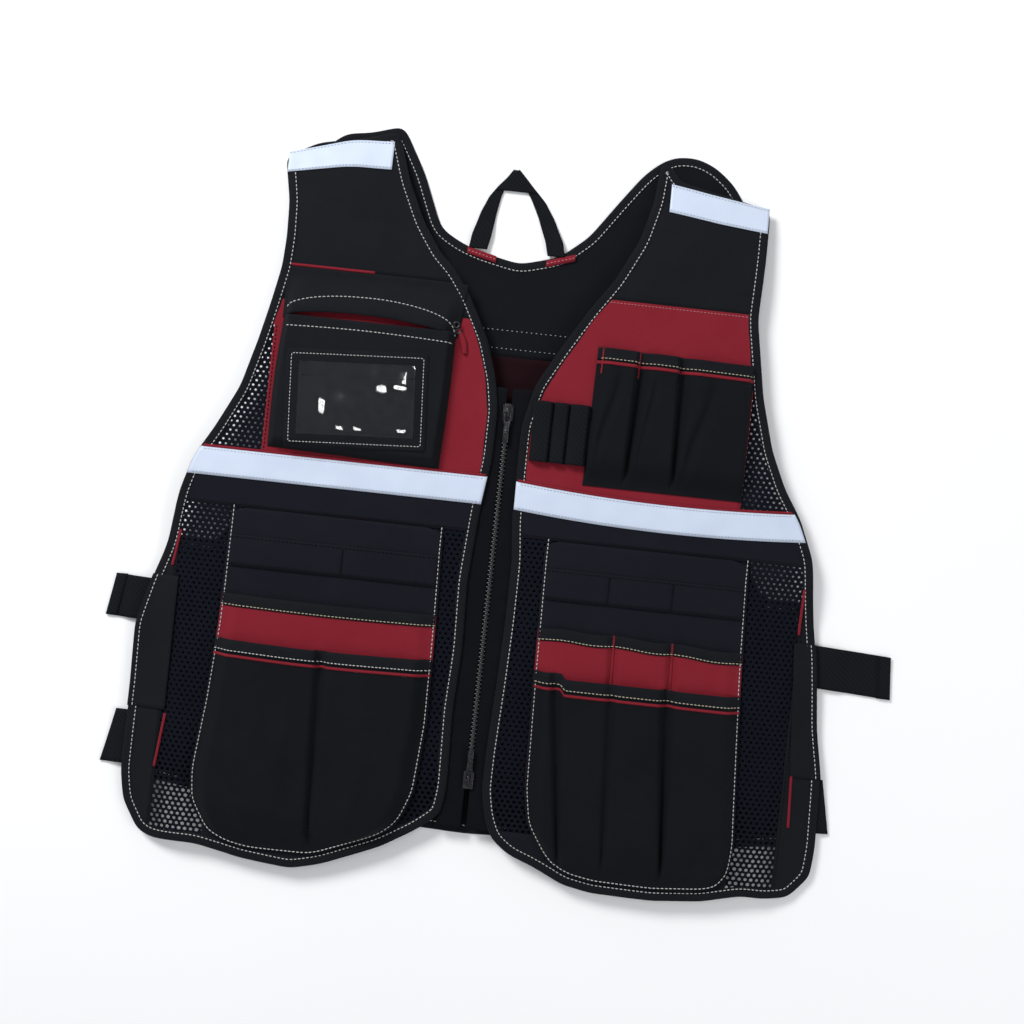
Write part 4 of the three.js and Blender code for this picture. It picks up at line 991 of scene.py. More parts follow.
def divider_share(side, y, bottom, top, low, high):
    """The share across at which a straight divider seam stands at each height."""
    ends = np.array([bottom + SEAM_FOOT, top])
    end_shares = np.array([mix(low, high, SEAM_FOOT / (top - bottom)), high])
    outer, inner = panel_edges(side, ends, PANEL_MARGIN)
    foot, head = mix(outer, inner, end_shares)
    heights = np.unique(y)
    outer, inner = panel_edges(side, heights, PANEL_MARGIN)
    line = foot + (head - foot) * (heights - ends[0]) / (ends[1] - ends[0])
    shares = clamp((line - outer) / (inner - outer + 1e-6))
    return np.interp(y, heights, shares)


POCKET_SIDE = 0.085


def pocket_height(side, which, share, y):
    """How far a lower pocket stands off the panel at a share across and a height."""
    top = POCKET_TOP[which]
    bottom = PANELS[side][:, 1].min()
    t = clamp((y - bottom) / (top - bottom))
    dividers = [divider_share(side, y, bottom, top, *ends) for ends in DIVIDERS[side, which]]
    seams = [0.0, *dividers, 1.0]
    ramps = [POCKET_SIDE, *(0.015 + 0.025 * t for _ in dividers), POCKET_SIDE]
    result = np.zeros_like(share)
    for a, b, ramp_a, ramp_b in zip(seams[:-1], seams[1:], ramps[:-1], ramps[1:]):
        width = np.maximum(1e-6, b - a)
        left = smooth((share - a) / np.minimum(ramp_a, 0.45 * width))
        right = smooth((b - share) / np.minimum(ramp_b, 0.45 * width))
        crown = 0.8 + 0.2 * np.sin(math.pi * clamp((share - a) / width))
        result = np.where((share >= a) & (share <= b), left * right * crown, result)
    return POCKET_DEPTH[which] * result * smooth((y - bottom - 2) / 34.0)


POCKET_CREASES = {
    (-1, "front"): [
        ((-215, 110), (-178, 62), 2.0, 10),
        ((-168, 160), (-160, 70), 1.4, 9),
        ((-110, 175), (-88, 120), 1.3, 10),
        ((-96, 120), (-98, 30), 1.5, 8),
        ((-200, 60), (-188, 22), 1.2, 7),
        ((-150, 95), (-160, 30), -1.3, 8),
    ],
    (1, "front"): [
        ((95, 170), (110, 60), 0.9, 14),
        ((150, 160), (140, 40), -0.9, 12),
        ((205, 150), (215, 90), 1.1, 9),
        ((190, 80), (196, 25), 0.9, 8),
        ((62, 150), (66, 50), 0.7, 6),
    ],
    (-1, "back"): [((-200, 222), (-120, 200), 0.5, 8)],
    (1, "back"): [((70, 222), (80, 196), 0.6, 5), ((185, 222), (210, 196), -0.9, 5)],
}


def pocket_point(side, which, share, y, lift=0.0):
    """A point on a lower pocket's outer face from arrays of shares across and heights."""
    share, y = np.broadcast_arrays(np.asarray(share, float), np.asarray(y, float))
    heights = np.unique(y)
    outer, inner = panel_edges(side, heights, PANEL_MARGIN)
    x = mix(np.interp(y, heights, outer), np.interp(y, heights, inner), share)
    z = front_top(x, y) + PANEL_LIFT + pocket_height(side, "back", share, y) + 0.7
    if which == "front":
        z = z + pocket_height(side, "front", share, y) + 0.9
    calm = smooth(share / 0.1) * smooth((1 - share) / 0.1)
    for line in POCKET_CREASES[side, which]:
        z = z + crease(x, y, *line) * calm
    return x, y, z + lift


def mouth(side, which, share):
    """The height of a pocket's mouth at a share across: its top less its sag there."""
    if (side, which) == (-1, "back"):
        sag = 1.2 * np.sin(math.pi * share)
    elif (side, which) == (1, "back"):
        sag = 4.5 * (1 - share) ** 2 + 1.5 * np.sin(3.4 * math.pi * share) ** 2
    elif (side, which) == (-1, "front"):
        sag = 1.6 * np.sin(math.pi * share) ** 2
    else:
        sag = 4.4 * (1 - smooth((share - 0.85) / 0.02)) - 1.2
    return POCKET_TOP[which] - sag


def along_mouth(side, which, below, lift):
    """A flat path under a pocket's mouth, with the surface that it lies on."""
    shares = np.linspace(0, 1, 90)
    x, y, z = pocket_point(side, which, shares, mouth(side, which, shares) - below, lift)
    return np.column_stack([x, y]), by_x(x, z)


def mouth_band(name, side, which, high, low, lift, material, rows=5, swell=0.0, **about):
    """A strip along a pocket's mouth, from high to low millimetres below its top edge."""
    shares = np.linspace(0.002, 0.998, 110)
    grid = []
    for i, below in enumerate(np.linspace(low, high, rows)):
        x, y, z = pocket_point(side, which, shares, mouth(side, which, shares) - below, lift)
        grid.append(np.column_stack([x, y, z + swell * math.sin(math.pi * i / (rows - 1))]))
    return cloth_grid(name, np.array(grid), material, 0.7, **about)


# The front pockets take the darker copy of the black cloth: painted shade
LAYERS = [("back", RED_CLOTH, "red_cloth"), ("front", POCKET_CLOTH_PAINTED_SHADE, "black_cloth")]


def add_lower_pockets():
    for side, name in SIDES.items():
        bottom = PANELS[side][:, 1].min()
        ys = fine_foot(bottom + 1.2, 26, 1.6, 12, PANEL_TOP_Y, 70)
        grid = []
        for outer, inner, y in zip(*panel_edges(side, ys, 0.3), ys):
            path = level(np.linspace(outer, inner, 60), y)
            grid.append(np.column_stack([path, front_top(path[:, 0], path[:, 1]) + PANEL_LIFT]))
        cloth_grid(f"pocket_panel_{name}", np.array(grid), NAVY_CLOTH, 1.0, ["back_lower"],
                   nodes=[f"pocket_backing_{name}"], slot="navy_cloth")
        for which, material, slot in LAYERS:
            rows = fine_foot(bottom + 1.4, 30, 1.5, 14, POCKET_TOP[which] - 12, 46)
            shares = np.linspace(0, 1, 101)
            body = np.stack(pocket_point(side, which, *np.meshgrid(shares, rows)), axis=-1)
            heights = [mix(rows[-1], mouth(side, which, shares), step) for step in np.linspace(0, 1, 6)[1:]]
            lip = [np.column_stack(pocket_point(side, which, shares, ys)) for ys in heights]
            cloth_grid(f"{which}_pocket_cloth_{name}", np.vstack([body, np.array(lip)]), material, 0.9,
                       ["back_lower"], nodes=[f"{which}_pocket_{name}"], slot=slot)
            mouth_band(f"{which}_pocket_hem_{name}", side, which, -1.0, HEM, 0.75, BLACK_CLOTH, swell=0.35,
                       slot="black_cloth")
            thread = THREAD_PALE if which == "back" or side > 0 else THREAD_WHITE
            stitch(f"pocket_{name}", *along_mouth(side, which, HEM - 1.6, 1.2), thread, 3.2, 2.5)
        mouth_band(f"front_pocket_piping_{name}", side, "front", HEM + 1.6, HEM + 4.2, 0.6, RED_CLOTH, rows=4,
                   swell=0.8, slot="red_cloth")
        border_stitches(side, name)
    add_pocket_tacks()


def border_stitches(side, name):
    """The white line round a pocket panel, from its upper corners down and under the pockets."""
    loop = resample(PANELS[side], 3.0, closed=True)
    path = loop + inward_of(loop) * 2.6
    keep = path[:, 1] < PANEL_TOP_Y - 16
    start = int(np.argmax(keep & ~np.roll(keep, 1)))
    path = np.roll(path, -start, axis=0)
    keep = np.roll(keep, -start)
    path = path[: int(np.argmin(keep)) or len(path)]
    path = np.vstack([(path[0, 0], PANEL_TOP_Y + 2), path, (path[-1, 0], PANEL_TOP_Y + 2)])
    stitch(f"pocket_{name}", path, lambda x, y: pocket_face(side, x, y) + 0.3, THREAD_WHITE)


def pocket_face(side, x, y):
    """The height of the uppermost layer of a pocket panel at a place."""
    heights = np.linspace(PANELS[side][:, 1].min() + 0.6, PANEL_TOP_Y, 160)
    outer, inner = (np.interp(y, heights, edge) for edge in panel_edges(side, heights, PANEL_MARGIN))
    share = clamp((x - outer) / np.where(np.abs(inner - outer) < 1, 1, inner - outer))
    panel = front_top(x, y) + PANEL_LIFT
    back = pocket_point(side, "back", share, y)[2]
    front = pocket_point(side, "front", share, y)[2]
    behind = np.where(y < mouth(side, "back", share), back, panel)
    return np.where(y < mouth(side, "front", share), front, behind)


# Side, pocket, share across, start and end below the mouth, and thread
TACKS = [
    (1, "back", 0.345, 0, 46, THREAD_RED),
    (1, "back", 0.63, 0, 48, THREAD_RED),
    (-1, "front", 0.47, -1, 12, THREAD_DARK),
    (1, "front", 0.37, -1, 12, THREAD_DARK),
]


def add_pocket_tacks():
    for side, which, share, start, end, thread in TACKS:
        ys = float(mouth(side, which, np.array([share]))[0]) - np.linspace(start, end, 14)
        x, y, z = pocket_point(side, which, np.full(14, share), ys, 0.9)
        bar_tack(f"pocket_{SIDES[side]}", (x[0], y[0]), (x[-1], y[-1]), by_y(y, z), thread)


BAND_TOP_Y = 280.0
BAND_BOTTOM_Y = 253.0
BAND_TACKS = {-1: [0.54], 1: [0.36, 0.68]}


def add_yoke_bands():
    """A webbing band over each yoke, tacked into loops."""
    for side, name in SIDES.items():
        ys = np.linspace(BAND_BOTTOM_Y, BAND_TOP_Y, 8)
        outer, inner = panel_edges(side, ys, 3.0)
        shares = np.linspace(0, 1, 90)
        loops = 1.1 * arch(shares, [0, *BAND_TACKS[side], 1], 0.02, 0.7)
        grid = []
        for o, i, y in zip(outer, inner, ys):
            xs = mix(o, i, shares)
            t = (y - BAND_BOTTOM_Y) / (BAND_TOP_Y - BAND_BOTTOM_Y)
            z = front_top(xs, y) + PANEL_LIFT + 0.9 + loops * (0.8 + 0.2 * math.sin(math.pi * t))
            grid.append(np.column_stack([level(xs, y), z]))
        cloth_grid(f"yoke_band_webbing_{name}", np.array(grid), NAVY_CLOTH, 0.8, nodes=[f"yoke_band_{name}"],
                   slot="webbing")
        for share in BAND_TACKS[side]:
            x = float(mix(outer.mean(), inner.mean(), share))
            bar_tack(f"pocket_{name}", (x, BAND_BOTTOM_Y + 1), (x, BAND_TOP_Y - 1),
                     lambda x, y: front_top(x, y) + PANEL_LIFT + 1.2, THREAD_DARK, width=1.6)
        for y in (BAND_BOTTOM_Y + 1.8, BAND_TOP_Y - 1.8):
            path = level(np.linspace(float(outer.mean()), float(inner.mean()), 60), y)
            stitch(f"pocket_{name}", path, lambda x, y: front_top(x, y) + PANEL_LIFT + 2.0, THREAD_DARK)


# Chest pocket

CHEST = {"outer": -205.0, "inner": -55.0, "bottom": 357.0, "top": 471.0}
CHEST_DEPTH = 14.0


def chest_point(share, y, lift=0.0):
    """The outer face of the chest pocket: share 0 at the armhole, 1 at the zip."""
    share, y = np.broadcast_arrays(np.asarray(share, float), np.asarray(y, float))
    t = clamp((y - CHEST["bottom"]) / (CHEST["top"] - CHEST["bottom"]))
    bow = 1.8 * np.sin(math.pi * t)
    x = mix(CHEST["outer"] - bow + 2.5 * t, CHEST["inner"] + 0.5 * bow + 3.0 * t, share)
    sag = 4.0 * (0.5 - share) * (1 - t)
    wall = np.minimum(smooth(share / 0.045) ** 0.7, smooth((1 - share) / 0.045) ** 0.7)
    base = smooth((y - CHEST["bottom"]) / 9.0) ** 0.6
    crown = 0.86 + 0.14 * np.sin(math.pi * share) * np.sin(math.pi * (0.15 + 0.75 * t))
    z = front_top(x, y) + 0.6 + (CHEST_DEPTH - 1.0) * wall * base * crown
    z = z + crease(x, y, (-185, 365), (-80, 372), -0.7, 7) + crease(x, y, (-70, 470), (-62, 380), -0.8, 7)
    return x, y + sag, z + lift


def add_chest_pocket():
    bottom, top = CHEST["bottom"], CHEST["top"]
    patch("chest_pocket_cloth", chest_point, runs((0, 0.06, 8), (0.06, 0.94, 60), (0.94, 1, 8)),
          runs((bottom, bottom + 12, 9), (bottom + 12, top + 3, 44)), BLACK_CLOTH, 0.9, ["back_chest"],
          nodes=["chest_pocket"], slot="black_cloth")
    add_flap()
    shares = np.linspace(0.03, 0.985, 80)
    x, y, z = chest_point(shares, top - 7 + 2.0 * np.sin(math.pi * shares), 0.2)
    stitch("chest", np.column_stack([x, y]), by_x(x, z), THREAD_WHITE)
    add_window()


FLAP = {"low": 483.0, "high": 517.0}


def flap_point(share, t, lift=0.0):
    """The flap over the pocket's slit: t 0 at its free edge and 1 at the chest seam."""
    share, t = np.broadcast_arrays(np.asarray(share, float), np.asarray(t, float))
    arc = np.sin(math.pi * clamp(share, 0, 1)) ** 0.6
    y = mix(FLAP["low"] - 11 + 9 * arc - 3 * share, FLAP["high"], t)
    outer = mix(CHEST["outer"] + 1.5, CHEST["outer"] + 1.0, t)
    inner = mix(CHEST["inner"] + 4.0, CHEST["inner"] + 9.0 + 4.0 * (1 - t), t)
    x = mix(outer, inner, share)
    wall = np.minimum(smooth(share / 0.06), smooth((1 - share) / 0.09))
    rise = (1 - smooth(t * 1.15)) ** 0.8
    roll = 0.8 * np.sin(math.pi * clamp(t / 0.3))
    z = front_top(x, y) + 0.8 + (CHEST_DEPTH - 2.5) * wall * rise + roll * wall
    return x, y, z + lift


def add_flap():
    patch("chest_flap_cloth", flap_point, runs((0, 0.1, 9), (0.1, 0.88, 50), (0.88, 1, 9)),
          np.linspace(0, 1, 26), BLACK_CLOTH, 0.9, ["back_chest"], nodes=["chest_pocket_flap"],
          slot="black_cloth")
    shares = np.linspace(0.02, 0.99, 90)
    x, y, z = flap_point(shares, 0.42 * np.sin(math.pi * clamp(shares * 1.02)) ** 0.35, 0.15)
    stitch("chest", np.column_stack([x, y]), by_x(x, z), THREAD_WHITE)
    # Red lining that shows in the slit
    share, t = np.meshgrid(np.linspace(0.03, 0.97, 60), np.linspace(0, 1, 10))
    low = chest_point(share, np.full_like(share, CHEST["top"] - 2))
    high = flap_point(share, np.full_like(share, 0.25))
    x, y, z = (mix(a, b, t) for a, b in zip(low, high))
    z = z - 3.2 - 3.0 * np.sin(math.pi * t)
    cloth_grid("chest_slit_lining", np.stack([x, y, z], axis=-1), RED_CLOTH, 0.6, slot="red_cloth")
    add_pocket_pull()


def add_pocket_pull():
    """A red cord tab that hangs from the zip of the chest pocket, in two flat turns."""
    start = np.array([-50.5, 478.0])
    end = np.array([-43.0, 457.0])
    shares = np.linspace(0, 1, 16)
    line = start + (end - start) * shares[:, None]
    line[:, 0] += 1.5 * np.sin(shares * math.pi)
    beside = np.array([0.94, 0.34])
    grid = []
    for i, (x, y) in enumerate(line):
        width = 1.3 + 0.9 * math.sin(math.pi * shares[i]) + 0.5 * shares[i]
        row = []
        for k in np.linspace(-1, 1, 7):
            px, py = x + beside[0] * k * width, y + beside[1] * k * width
            row.append((px, py, float(front_top(np.array(px), np.array(py))) + 1.6 + 1.1 * math.cos(k * 1.3)))
        grid.append(row)
    cloth_grid("pocket_pull_cord", np.array(grid)[::-1], RED_CLOTH, 0.8, nodes=["pocket_pull"],
               slot="red_cloth")
    ring("pocket_zip_end_upper", (-52.5, 481.0, 20.0), 2.4)
    ring("pocket_zip_end_lower", (-50.5, 476.0, 18.0), 2.2)


def ring(name, centre, radius, wire=0.8, count=20, section=8):
    """A round wire ring about Z."""
    cx, cy, cz = centre
    points, faces = [], []
    for i in range(count):
        a = 2 * math.pi * i / count
        for k in range(section):
            b = 2 * math.pi * k / section
            r = radius + wire * math.cos(b)
            points.append((cx + r * math.cos(a), cy + r * math.sin(a), cz + wire * math.sin(b)))
            j, m = (i + 1) % count, (k + 1) % section
            faces.append((i * section + k, j * section + k, j * section + m, i * section + m))
    return piece(name, points, faces, ZIP_CHAIN, slot="zip_metal")


WINDOW = {"x": (-192.6, -69.6), "y": (364.0, 449.0), "border": 13.0, "stitch_inset": 4.5, "turn_deg": -3.6}
# The frame's section: share of its width from the outside, and height
WINDOW_PROFILE = [
    (0.0, 0.0), (0.03, 0.9), (0.2, 1.15), (0.45, 1.0), (0.55, 1.25), (0.85, 1.2), (0.97, 1.0), (1.0, 0.3),
]
# The film's flat facets that face the small light: middle, half width, half height
GLINT_FACETS = [
    ((-110.0, 418.0), 8.5, 5.0),
    ((-95.8, 420.5), 7.5, 2.8),
    ((-159.7, 398.0), 4.6, 8.0),
    ((-142.7, 380.7), 5.5, 3.2),
    ((-127.1, 381.2), 5.2, 3.0),
    ((-89.5, 383.5), 5.0, 3.0),
]
GLINT_LIGHT = (-0.12, 0.34, 1.75)
CAMERA_HEIGHT = 1.25


def window_height(x, y):
    share = (x - CHEST["outer"]) / (CHEST["inner"] - CHEST["outer"])
    return chest_point(share, y)[2]


def glint_slope(x, y):
    """The slope of a facet at (x, y) that mirrors the small light into the camera."""
    spot = np.array([x * MM + SHIFT_X, y * MM + SHIFT_Y, 0.03])
    to_light = np.array(GLINT_LIGHT) - spot
    to_camera = np.array([0.0, 0.0, CAMERA_HEIGHT]) - spot
    half = to_light / np.linalg.norm(to_light) + to_camera / np.linalg.norm(to_camera)
    return -half[0] / half[2], -half[1] / half[2]


def add_window():
    """The identity window: a stitched frame, a dark card pocket and the clear film over it."""
    x0, x1 = WINDOW["x"]
    y0, y1 = WINDOW["y"]
    border, inset = WINDOW["border"], WINDOW["stitch_inset"]
    turn = math.radians(WINDOW["turn_deg"])
    middle = np.array([(x0 + x1) / 2, (y0 + y1) / 2])

    def turned(x, y):
        dx, dy = x - middle[0], y - middle[1]
        return (middle[0] + dx * math.cos(turn) + dy * math.sin(turn),
                middle[1] - dx * math.sin(turn) + dy * math.cos(turn))

    def rectangle(inset, reach):
        corners = [(x0 + inset, y0 + inset), (x1 - inset, y0 + inset), (x1 - inset, y1 - inset),
                   (x0 + inset, y1 - inset)]
        return soften(np.array(corners, float), reach, 1.5, closed=True)

    outer = rectangle(0, 1.6)
    rings = []
    for share, lift in WINDOW_PROFILE:
        scale = np.array([1 - share * 2 * border / (x1 - x0), 1 - share * 2 * border / (y1 - y0)])
        flat = middle + (outer - middle) * scale
        x, y = turned(flat[:, 0], flat[:, 1])
        rings.append(np.column_stack([x, y, window_height(x, y) + lift]))
    faces = grid_faces(len(rings), len(outer), closed=True)
    piece("window_frame_cloth", np.concatenate(rings), faces, BINDING, nodes=["id_frame"], slot="binding")
    path = rectangle(inset, 1.0)
    path = np.column_stack(turned(path[:, 0], path[:, 1]))
    path = np.vstack([path, path[:1]])
    stitch("chest", path, lambda x, y: window_height(x, y) + 1.15, THREAD_WHITE, 2.9, 2.1, 0.75)

    share_x, share_y = np.meshgrid(np.linspace(0, 1, 150), np.linspace(0, 1, 100))
    fx = mix(x0 + border - 2, x1 - border + 2, share_x)
    fy = mix(y0 + border - 2, y1 - border + 2, share_y)
    x, y = turned(fx, fy)
    inner = smooth(share_x / 0.08) * smooth((1 - share_x) / 0.08)
    inner = inner * smooth(share_y / 0.1) * smooth((1 - share_y) / 0.1)
    card = window_height(x, y) + 0.35
    cloth_grid("window_card", np.stack([x, y, card], axis=-1), NAVY_CLOTH, 0.4, slot="navy_cloth")
    buckle = 0.12 * np.sin(x / 9.0 + 1.5 * np.sin(y / 12.0)) + 0.1 * np.sin(y / 8.0 + x / 15.0)
    film = window_height(x, y) + 1.4 + inner * (0.9 + buckle)
    for (gx, gy), half_width, half_height in GLINT_FACETS:
        slope_x, slope_y = glint_slope(gx, gy)
        nearest = np.argmin((x - gx) ** 2 + (y - gy) ** 2)
        facet = film.flat[nearest] + slope_x * (x - gx) + slope_y * (y - gy)
        near = np.exp(-(((x - gx) / half_width) ** 6) - ((y - gy) / half_height) ** 6)
        film = mix(film, facet, near)
    film = np.maximum(film, card + 0.5)
    cloth_grid("window_film", np.stack([x, y, film], axis=-1), FILM, 0.25, nodes=["id_window"],
               slot="clear_film")
    px, py = turned(np.linspace(x0 + border + 1, x1 - border - 1, 60), np.full(60, mix(y0, y1, 0.73)))
    rows = [np.column_stack([px, py + d, window_height(px, py) + z])
            for d, z in ((-0.9, 1.3), (0, 2.1), (0.9, 1.3))]
    cloth_grid("window_slot_edge", np.array(rows), THREAD_DARK, 0.4, slot="binding")


# Tool pocket and pen loops

TOOL = {"inner": 71.0, "outer": 210.0, "bottom": 354.7, "top": 473.0}
TOOL_SEAMS = [(0.0, 0.0), (0.25, 0.28), (0.55, 0.54), (1.0, 1.0)]
TOOL_CREASES = [
    ((94, 470), (80, 366), -2.6, 3.5),
    ((123, 470), (118, 362), -2.2, 3.0),
    ((176, 468), (158, 360), -3.4, 4.5),
]


def tool_point(share, y, lift=0.0):
    """The outer face of the tool pocket: share 0 at the pen loops, 1 at the armhole."""
    share, y = np.broadcast_arrays(np.asarray(share, float), np.asarray(y, float))
    t = clamp((y - TOOL["bottom"]) / (TOOL["top"] - TOOL["bottom"]))
    x = mix(TOOL["inner"] + 1.0 * t, TOOL["outer"] - 1.0 * t, share)
    lean = 3.0 * t * (0.5 - share)
    seams = [mix(low, high, t) for low, high in TOOL_SEAMS]
    height = np.zeros_like(share)
    for index, (a, b) in enumerate(zip(seams[:-1], seams[1:])):
        width = np.maximum(1e-6, b - a)
        inside = (share >= a) & (share <= b)
        side_a = 0.03 + (0.09 if index else 0.06) * t
        side_b = 0.02 + 0.02 * t
        left = smooth((share - a) / np.minimum(side_a, 0.6 * width))
        right = smooth((b - share) / np.minimum(side_b, 0.3 * width))
        height = np.where(inside, left * right, height)
    rise = smooth((y - TOOL["bottom"]) / 26.0)
    mouth_pull = 1 - 0.35 * smooth((t - 0.82) / 0.18)
    fold = sum(crease(x, y, *line) for line in TOOL_CREASES) * height * rise
    z = front_top(x, y) + 0.9 + 9.0 * height * rise * mouth_pull + fold
    return x, y + lean, z + lift


def add_tool_pocket():
    bottom, top = TOOL["bottom"], TOOL["top"]
    patch("tool_pocket_cloth", tool_point, np.linspace(0, 1, 131), fine_foot(bottom, 22, 1.4, 12, top, 50),
          POCKET_CLOTH_PAINTED_SHADE, 0.9, ["back_chest"], nodes=["tool_pocket"], slot="black_cloth")
    patch("tool_pocket_hem", tool_point, np.linspace(0.002, 0.998, 131), np.linspace(top - 9.5, top + 1.0, 6),
          BLACK_CLOTH, 0.7, lift=0.75, slot="black_cloth")
    share, y = np.meshgrid(np.linspace(0.0, 1.0, 131), np.linspace(top - 13.4, top - 10.4, 4))
    x, y, z = tool_point(share, y, 0.6)
    z[1:3] += 0.7
    cloth_grid("tool_pocket_piping", np.stack([x, y, z], axis=-1), RED_CLOTH, 0.7, slot="red_cloth")
    x, y, z = tool_point(np.linspace(0.02, 0.99, 160), top - 8.2, 1.0)
    stitch("tool", np.column_stack([x, y]), by_x(x, z), THREAD_PALE, 3.2, 2.4)
    for share, thread in ((0.035, THREAD_RED), (0.27, THREAD_RED), (0.53, THREAD_DARK)):
        x, y, z = tool_point(share, np.linspace(top - 21, top + 1, 12), 1.0)
        bar_tack("tool", (x[0], y[0]), (x[-1], y[-1]), by_y(y, z), thread, width=1.9)
    add_pen_loops()


PENS = {"inner": 22.0, "outer": 72.0, "bottom": 371.0, "top": 423.5}
PEN_SEAMS = [0.0, 0.34, 0.62, 0.98]


def add_pen_loops():
    """Elastic band tacked into loops for pens."""
    inner, outer, bottom, top = (PENS[key] for key in ("inner", "outer", "bottom", "top"))
    share, y = np.meshgrid(np.linspace(0, 1, 120), np.linspace(bottom, top, 26))
    x = mix(inner, outer, share)
    waist = 0.9 + 0.1 * np.cos((y - bottom) / (top - bottom) * 2 * math.pi)
    z = front_top(x, y) + 0.7 + 6.3 * arch(share, PEN_SEAMS, 0.045, 0.8) * waist
    cloth_grid("pen_loop_elastic", np.stack([x, y, z], axis=-1), WEBBING, 0.9, nodes=["pen_loops"],
               slot="webbing")
    for share in PEN_SEAMS[1:-1]:
        x = mix(inner, outer, share)
        bar_tack("tool", (x, bottom + 0.5), (x, top - 0.5), lambda px, py: front_top(px, py) + 0.9,
                 THREAD_DARK, width=1.8)


# Side straps, patches and red bars

# Name, side, the root's outward X and middle Y, the end's low and high corners, and the hem's depth
STRAPS = [
    ("upper_strap_left", -1, (250, 213), (332, 197.5), (326, 234.5), 10),
    ("lower_strap_left", -1, (250, 93), (324, 69.5), (314, 116.5), 0),
    ("upper_strap_right", 1, (250, 221), (360, 196.5), (357, 233.5), 12),
    ("lower_strap_right", 1, (250, 97), (319, 73.5), (309, 120.5), 0),
]


def strap_height(x):
    """Straps lie on the back, and droop to the floor past its edge."""
    lie = BACK_CLOTH + 0.3 + 1.8
    return mix(lie, 1.9, smooth((np.abs(x) - 309) / 13))


def add_straps():
    for name, side, root, low, high, hem in STRAPS:
        half = (high[1] - low[1]) / 2
        shares = np.linspace(0, 1, 34)
        grid = []
        for v in np.linspace(0, 1, 12):
            xs = side * mix(root[0], mix(low[0], high[0], v), shares)
            ys = mix(root[1] - half + 2 * half * v, mix(low[1], high[1], v), shares)
            ribs = 0.12 * math.cos(v * math.pi * 10)
            sway = 0.5 * np.sin(shares * 5 + v * 2) * smooth((shares - 0.5) / 0.2)
            grid.append(np.column_stack([xs, ys, strap_height(xs) + ribs + np.maximum(0, sway)]))
        grid = np.array(grid)
        cloth_grid(f"{name}_webbing", grid, WEBBING, 1.5, ["back_lower"], nodes=[name], slot="webbing")
        if hem:
            end = grid[:, -1]
            ahead = np.array([-side * hem, 0.3, 0])
            rows = [end + (side * 0.4, 0, 0.6 + 0.35 * math.sin(math.pi * s)) + ahead * s
                    for s in np.linspace(0, 1, 6)]
            cloth_grid(f"{name}_hem", np.array(rows).transpose(1, 0, 2), WEBBING, 1.1, slot="webbing")
            path = end[:, :2] + ahead[:2] * 0.86
            stitch("straps", path, lambda x, y: strap_height(x) + 1.2, THREAD_DARK)


RED_BARS = {
    -1: [((-272, 279), (-277, 247)), ((-269, 118), (-274, 71))],
    1: [((273, 285), (273, 245)), ((280, 122), (282, 77))],
}


PATCH_TOP_Y = 238.0
PATCH_BOTTOM_Y = 121.0


def add_patches():
    """Patches over the side strip, the seam of the strip, and thin red bars above and below."""
    for side, name in SIDES.items():
        ys = np.linspace(PATCH_BOTTOM_Y, PATCH_TOP_Y, 34)
        edge = np.array([span_at(FRONTS[side], float(y))[0 if side < 0 else 1] for y in ys])
        grid = []
        for y, x_edge in zip(ys, edge):
            t = (y - PATCH_BOTTOM_Y) / (PATCH_TOP_Y - PATCH_BOTTOM_Y)
            x_in = side * (STRIP_X - 3 + 9 * (1 - t) * (side > 0))
            path = level(np.linspace(x_in, x_edge + side * 0.5, 16), y)
            z = front_top(path[:, 0], path[:, 1]) + 1.2 + 0.6 * math.sin(math.pi * t)
            grid.append(np.column_stack([path, z]))
        cloth_grid(f"side_patch_cloth_{name}", np.array(grid), BLACK_CLOTH, 0.9, ["back_lower"],
                   nodes=[f"side_patch_{name}"], slot="black_cloth")
        stitch(f"side_{name}", np.column_stack([edge - side * 4.0, ys]), front_top, THREAD_WHITE, lift=2.1)
        for (ax, ay), (bx, by) in RED_BARS[side]:
            rows = []
            for k, lift in zip(np.linspace(-1.3, 1.3, 5), (0.2, 1.0, 1.25, 1.0, 0.2)):
                t = np.linspace(0, 1, 20)
                xs, ys_bar = mix(ax, bx, t) + k, mix(ay, by, t)
                rows.append(np.column_stack([xs, ys_bar, front_top(xs, ys_bar) + lift + 0.3]))
            bar = np.array(rows).transpose(1, 0, 2)[::-1]
            cloth_grid(f"side_red_bar_{name}_{'upper' if ay > 200 else 'lower'}", bar, RED_CLOTH, 0.6,
                       slot="red_cloth")


# Hanging loop

# Share up the loop, and the X of the edges of its two legs, in spreads from its middle
LOOP_ROWS = [
    (0.0, -1.0, -0.6, 0.74, 1.12), (0.17, -0.96, -0.54, 0.66, 1.05), (0.45, -0.82, -0.48, 0.46, 0.8),
    (0.65, -0.67, -0.42, 0.28, 0.56), (0.78, -0.5, -0.36, 0.14, 0.32), (0.9, -0.3, -0.24, 0.02, 0.1),
    (1.0, -0.17, -0.15, -0.11, -0.1),
]
LOOP_X = -10.0
LOOP_HEIGHT = 72.0
LOOP_SPREAD = 40.0
NECK_Y = 0.849 * 650


def loop_height(y):
    """The loop drops from the binding to the back's cloth."""
    return mix(4.1, 1.9, smooth((y - NECK_Y - 12) / 18))


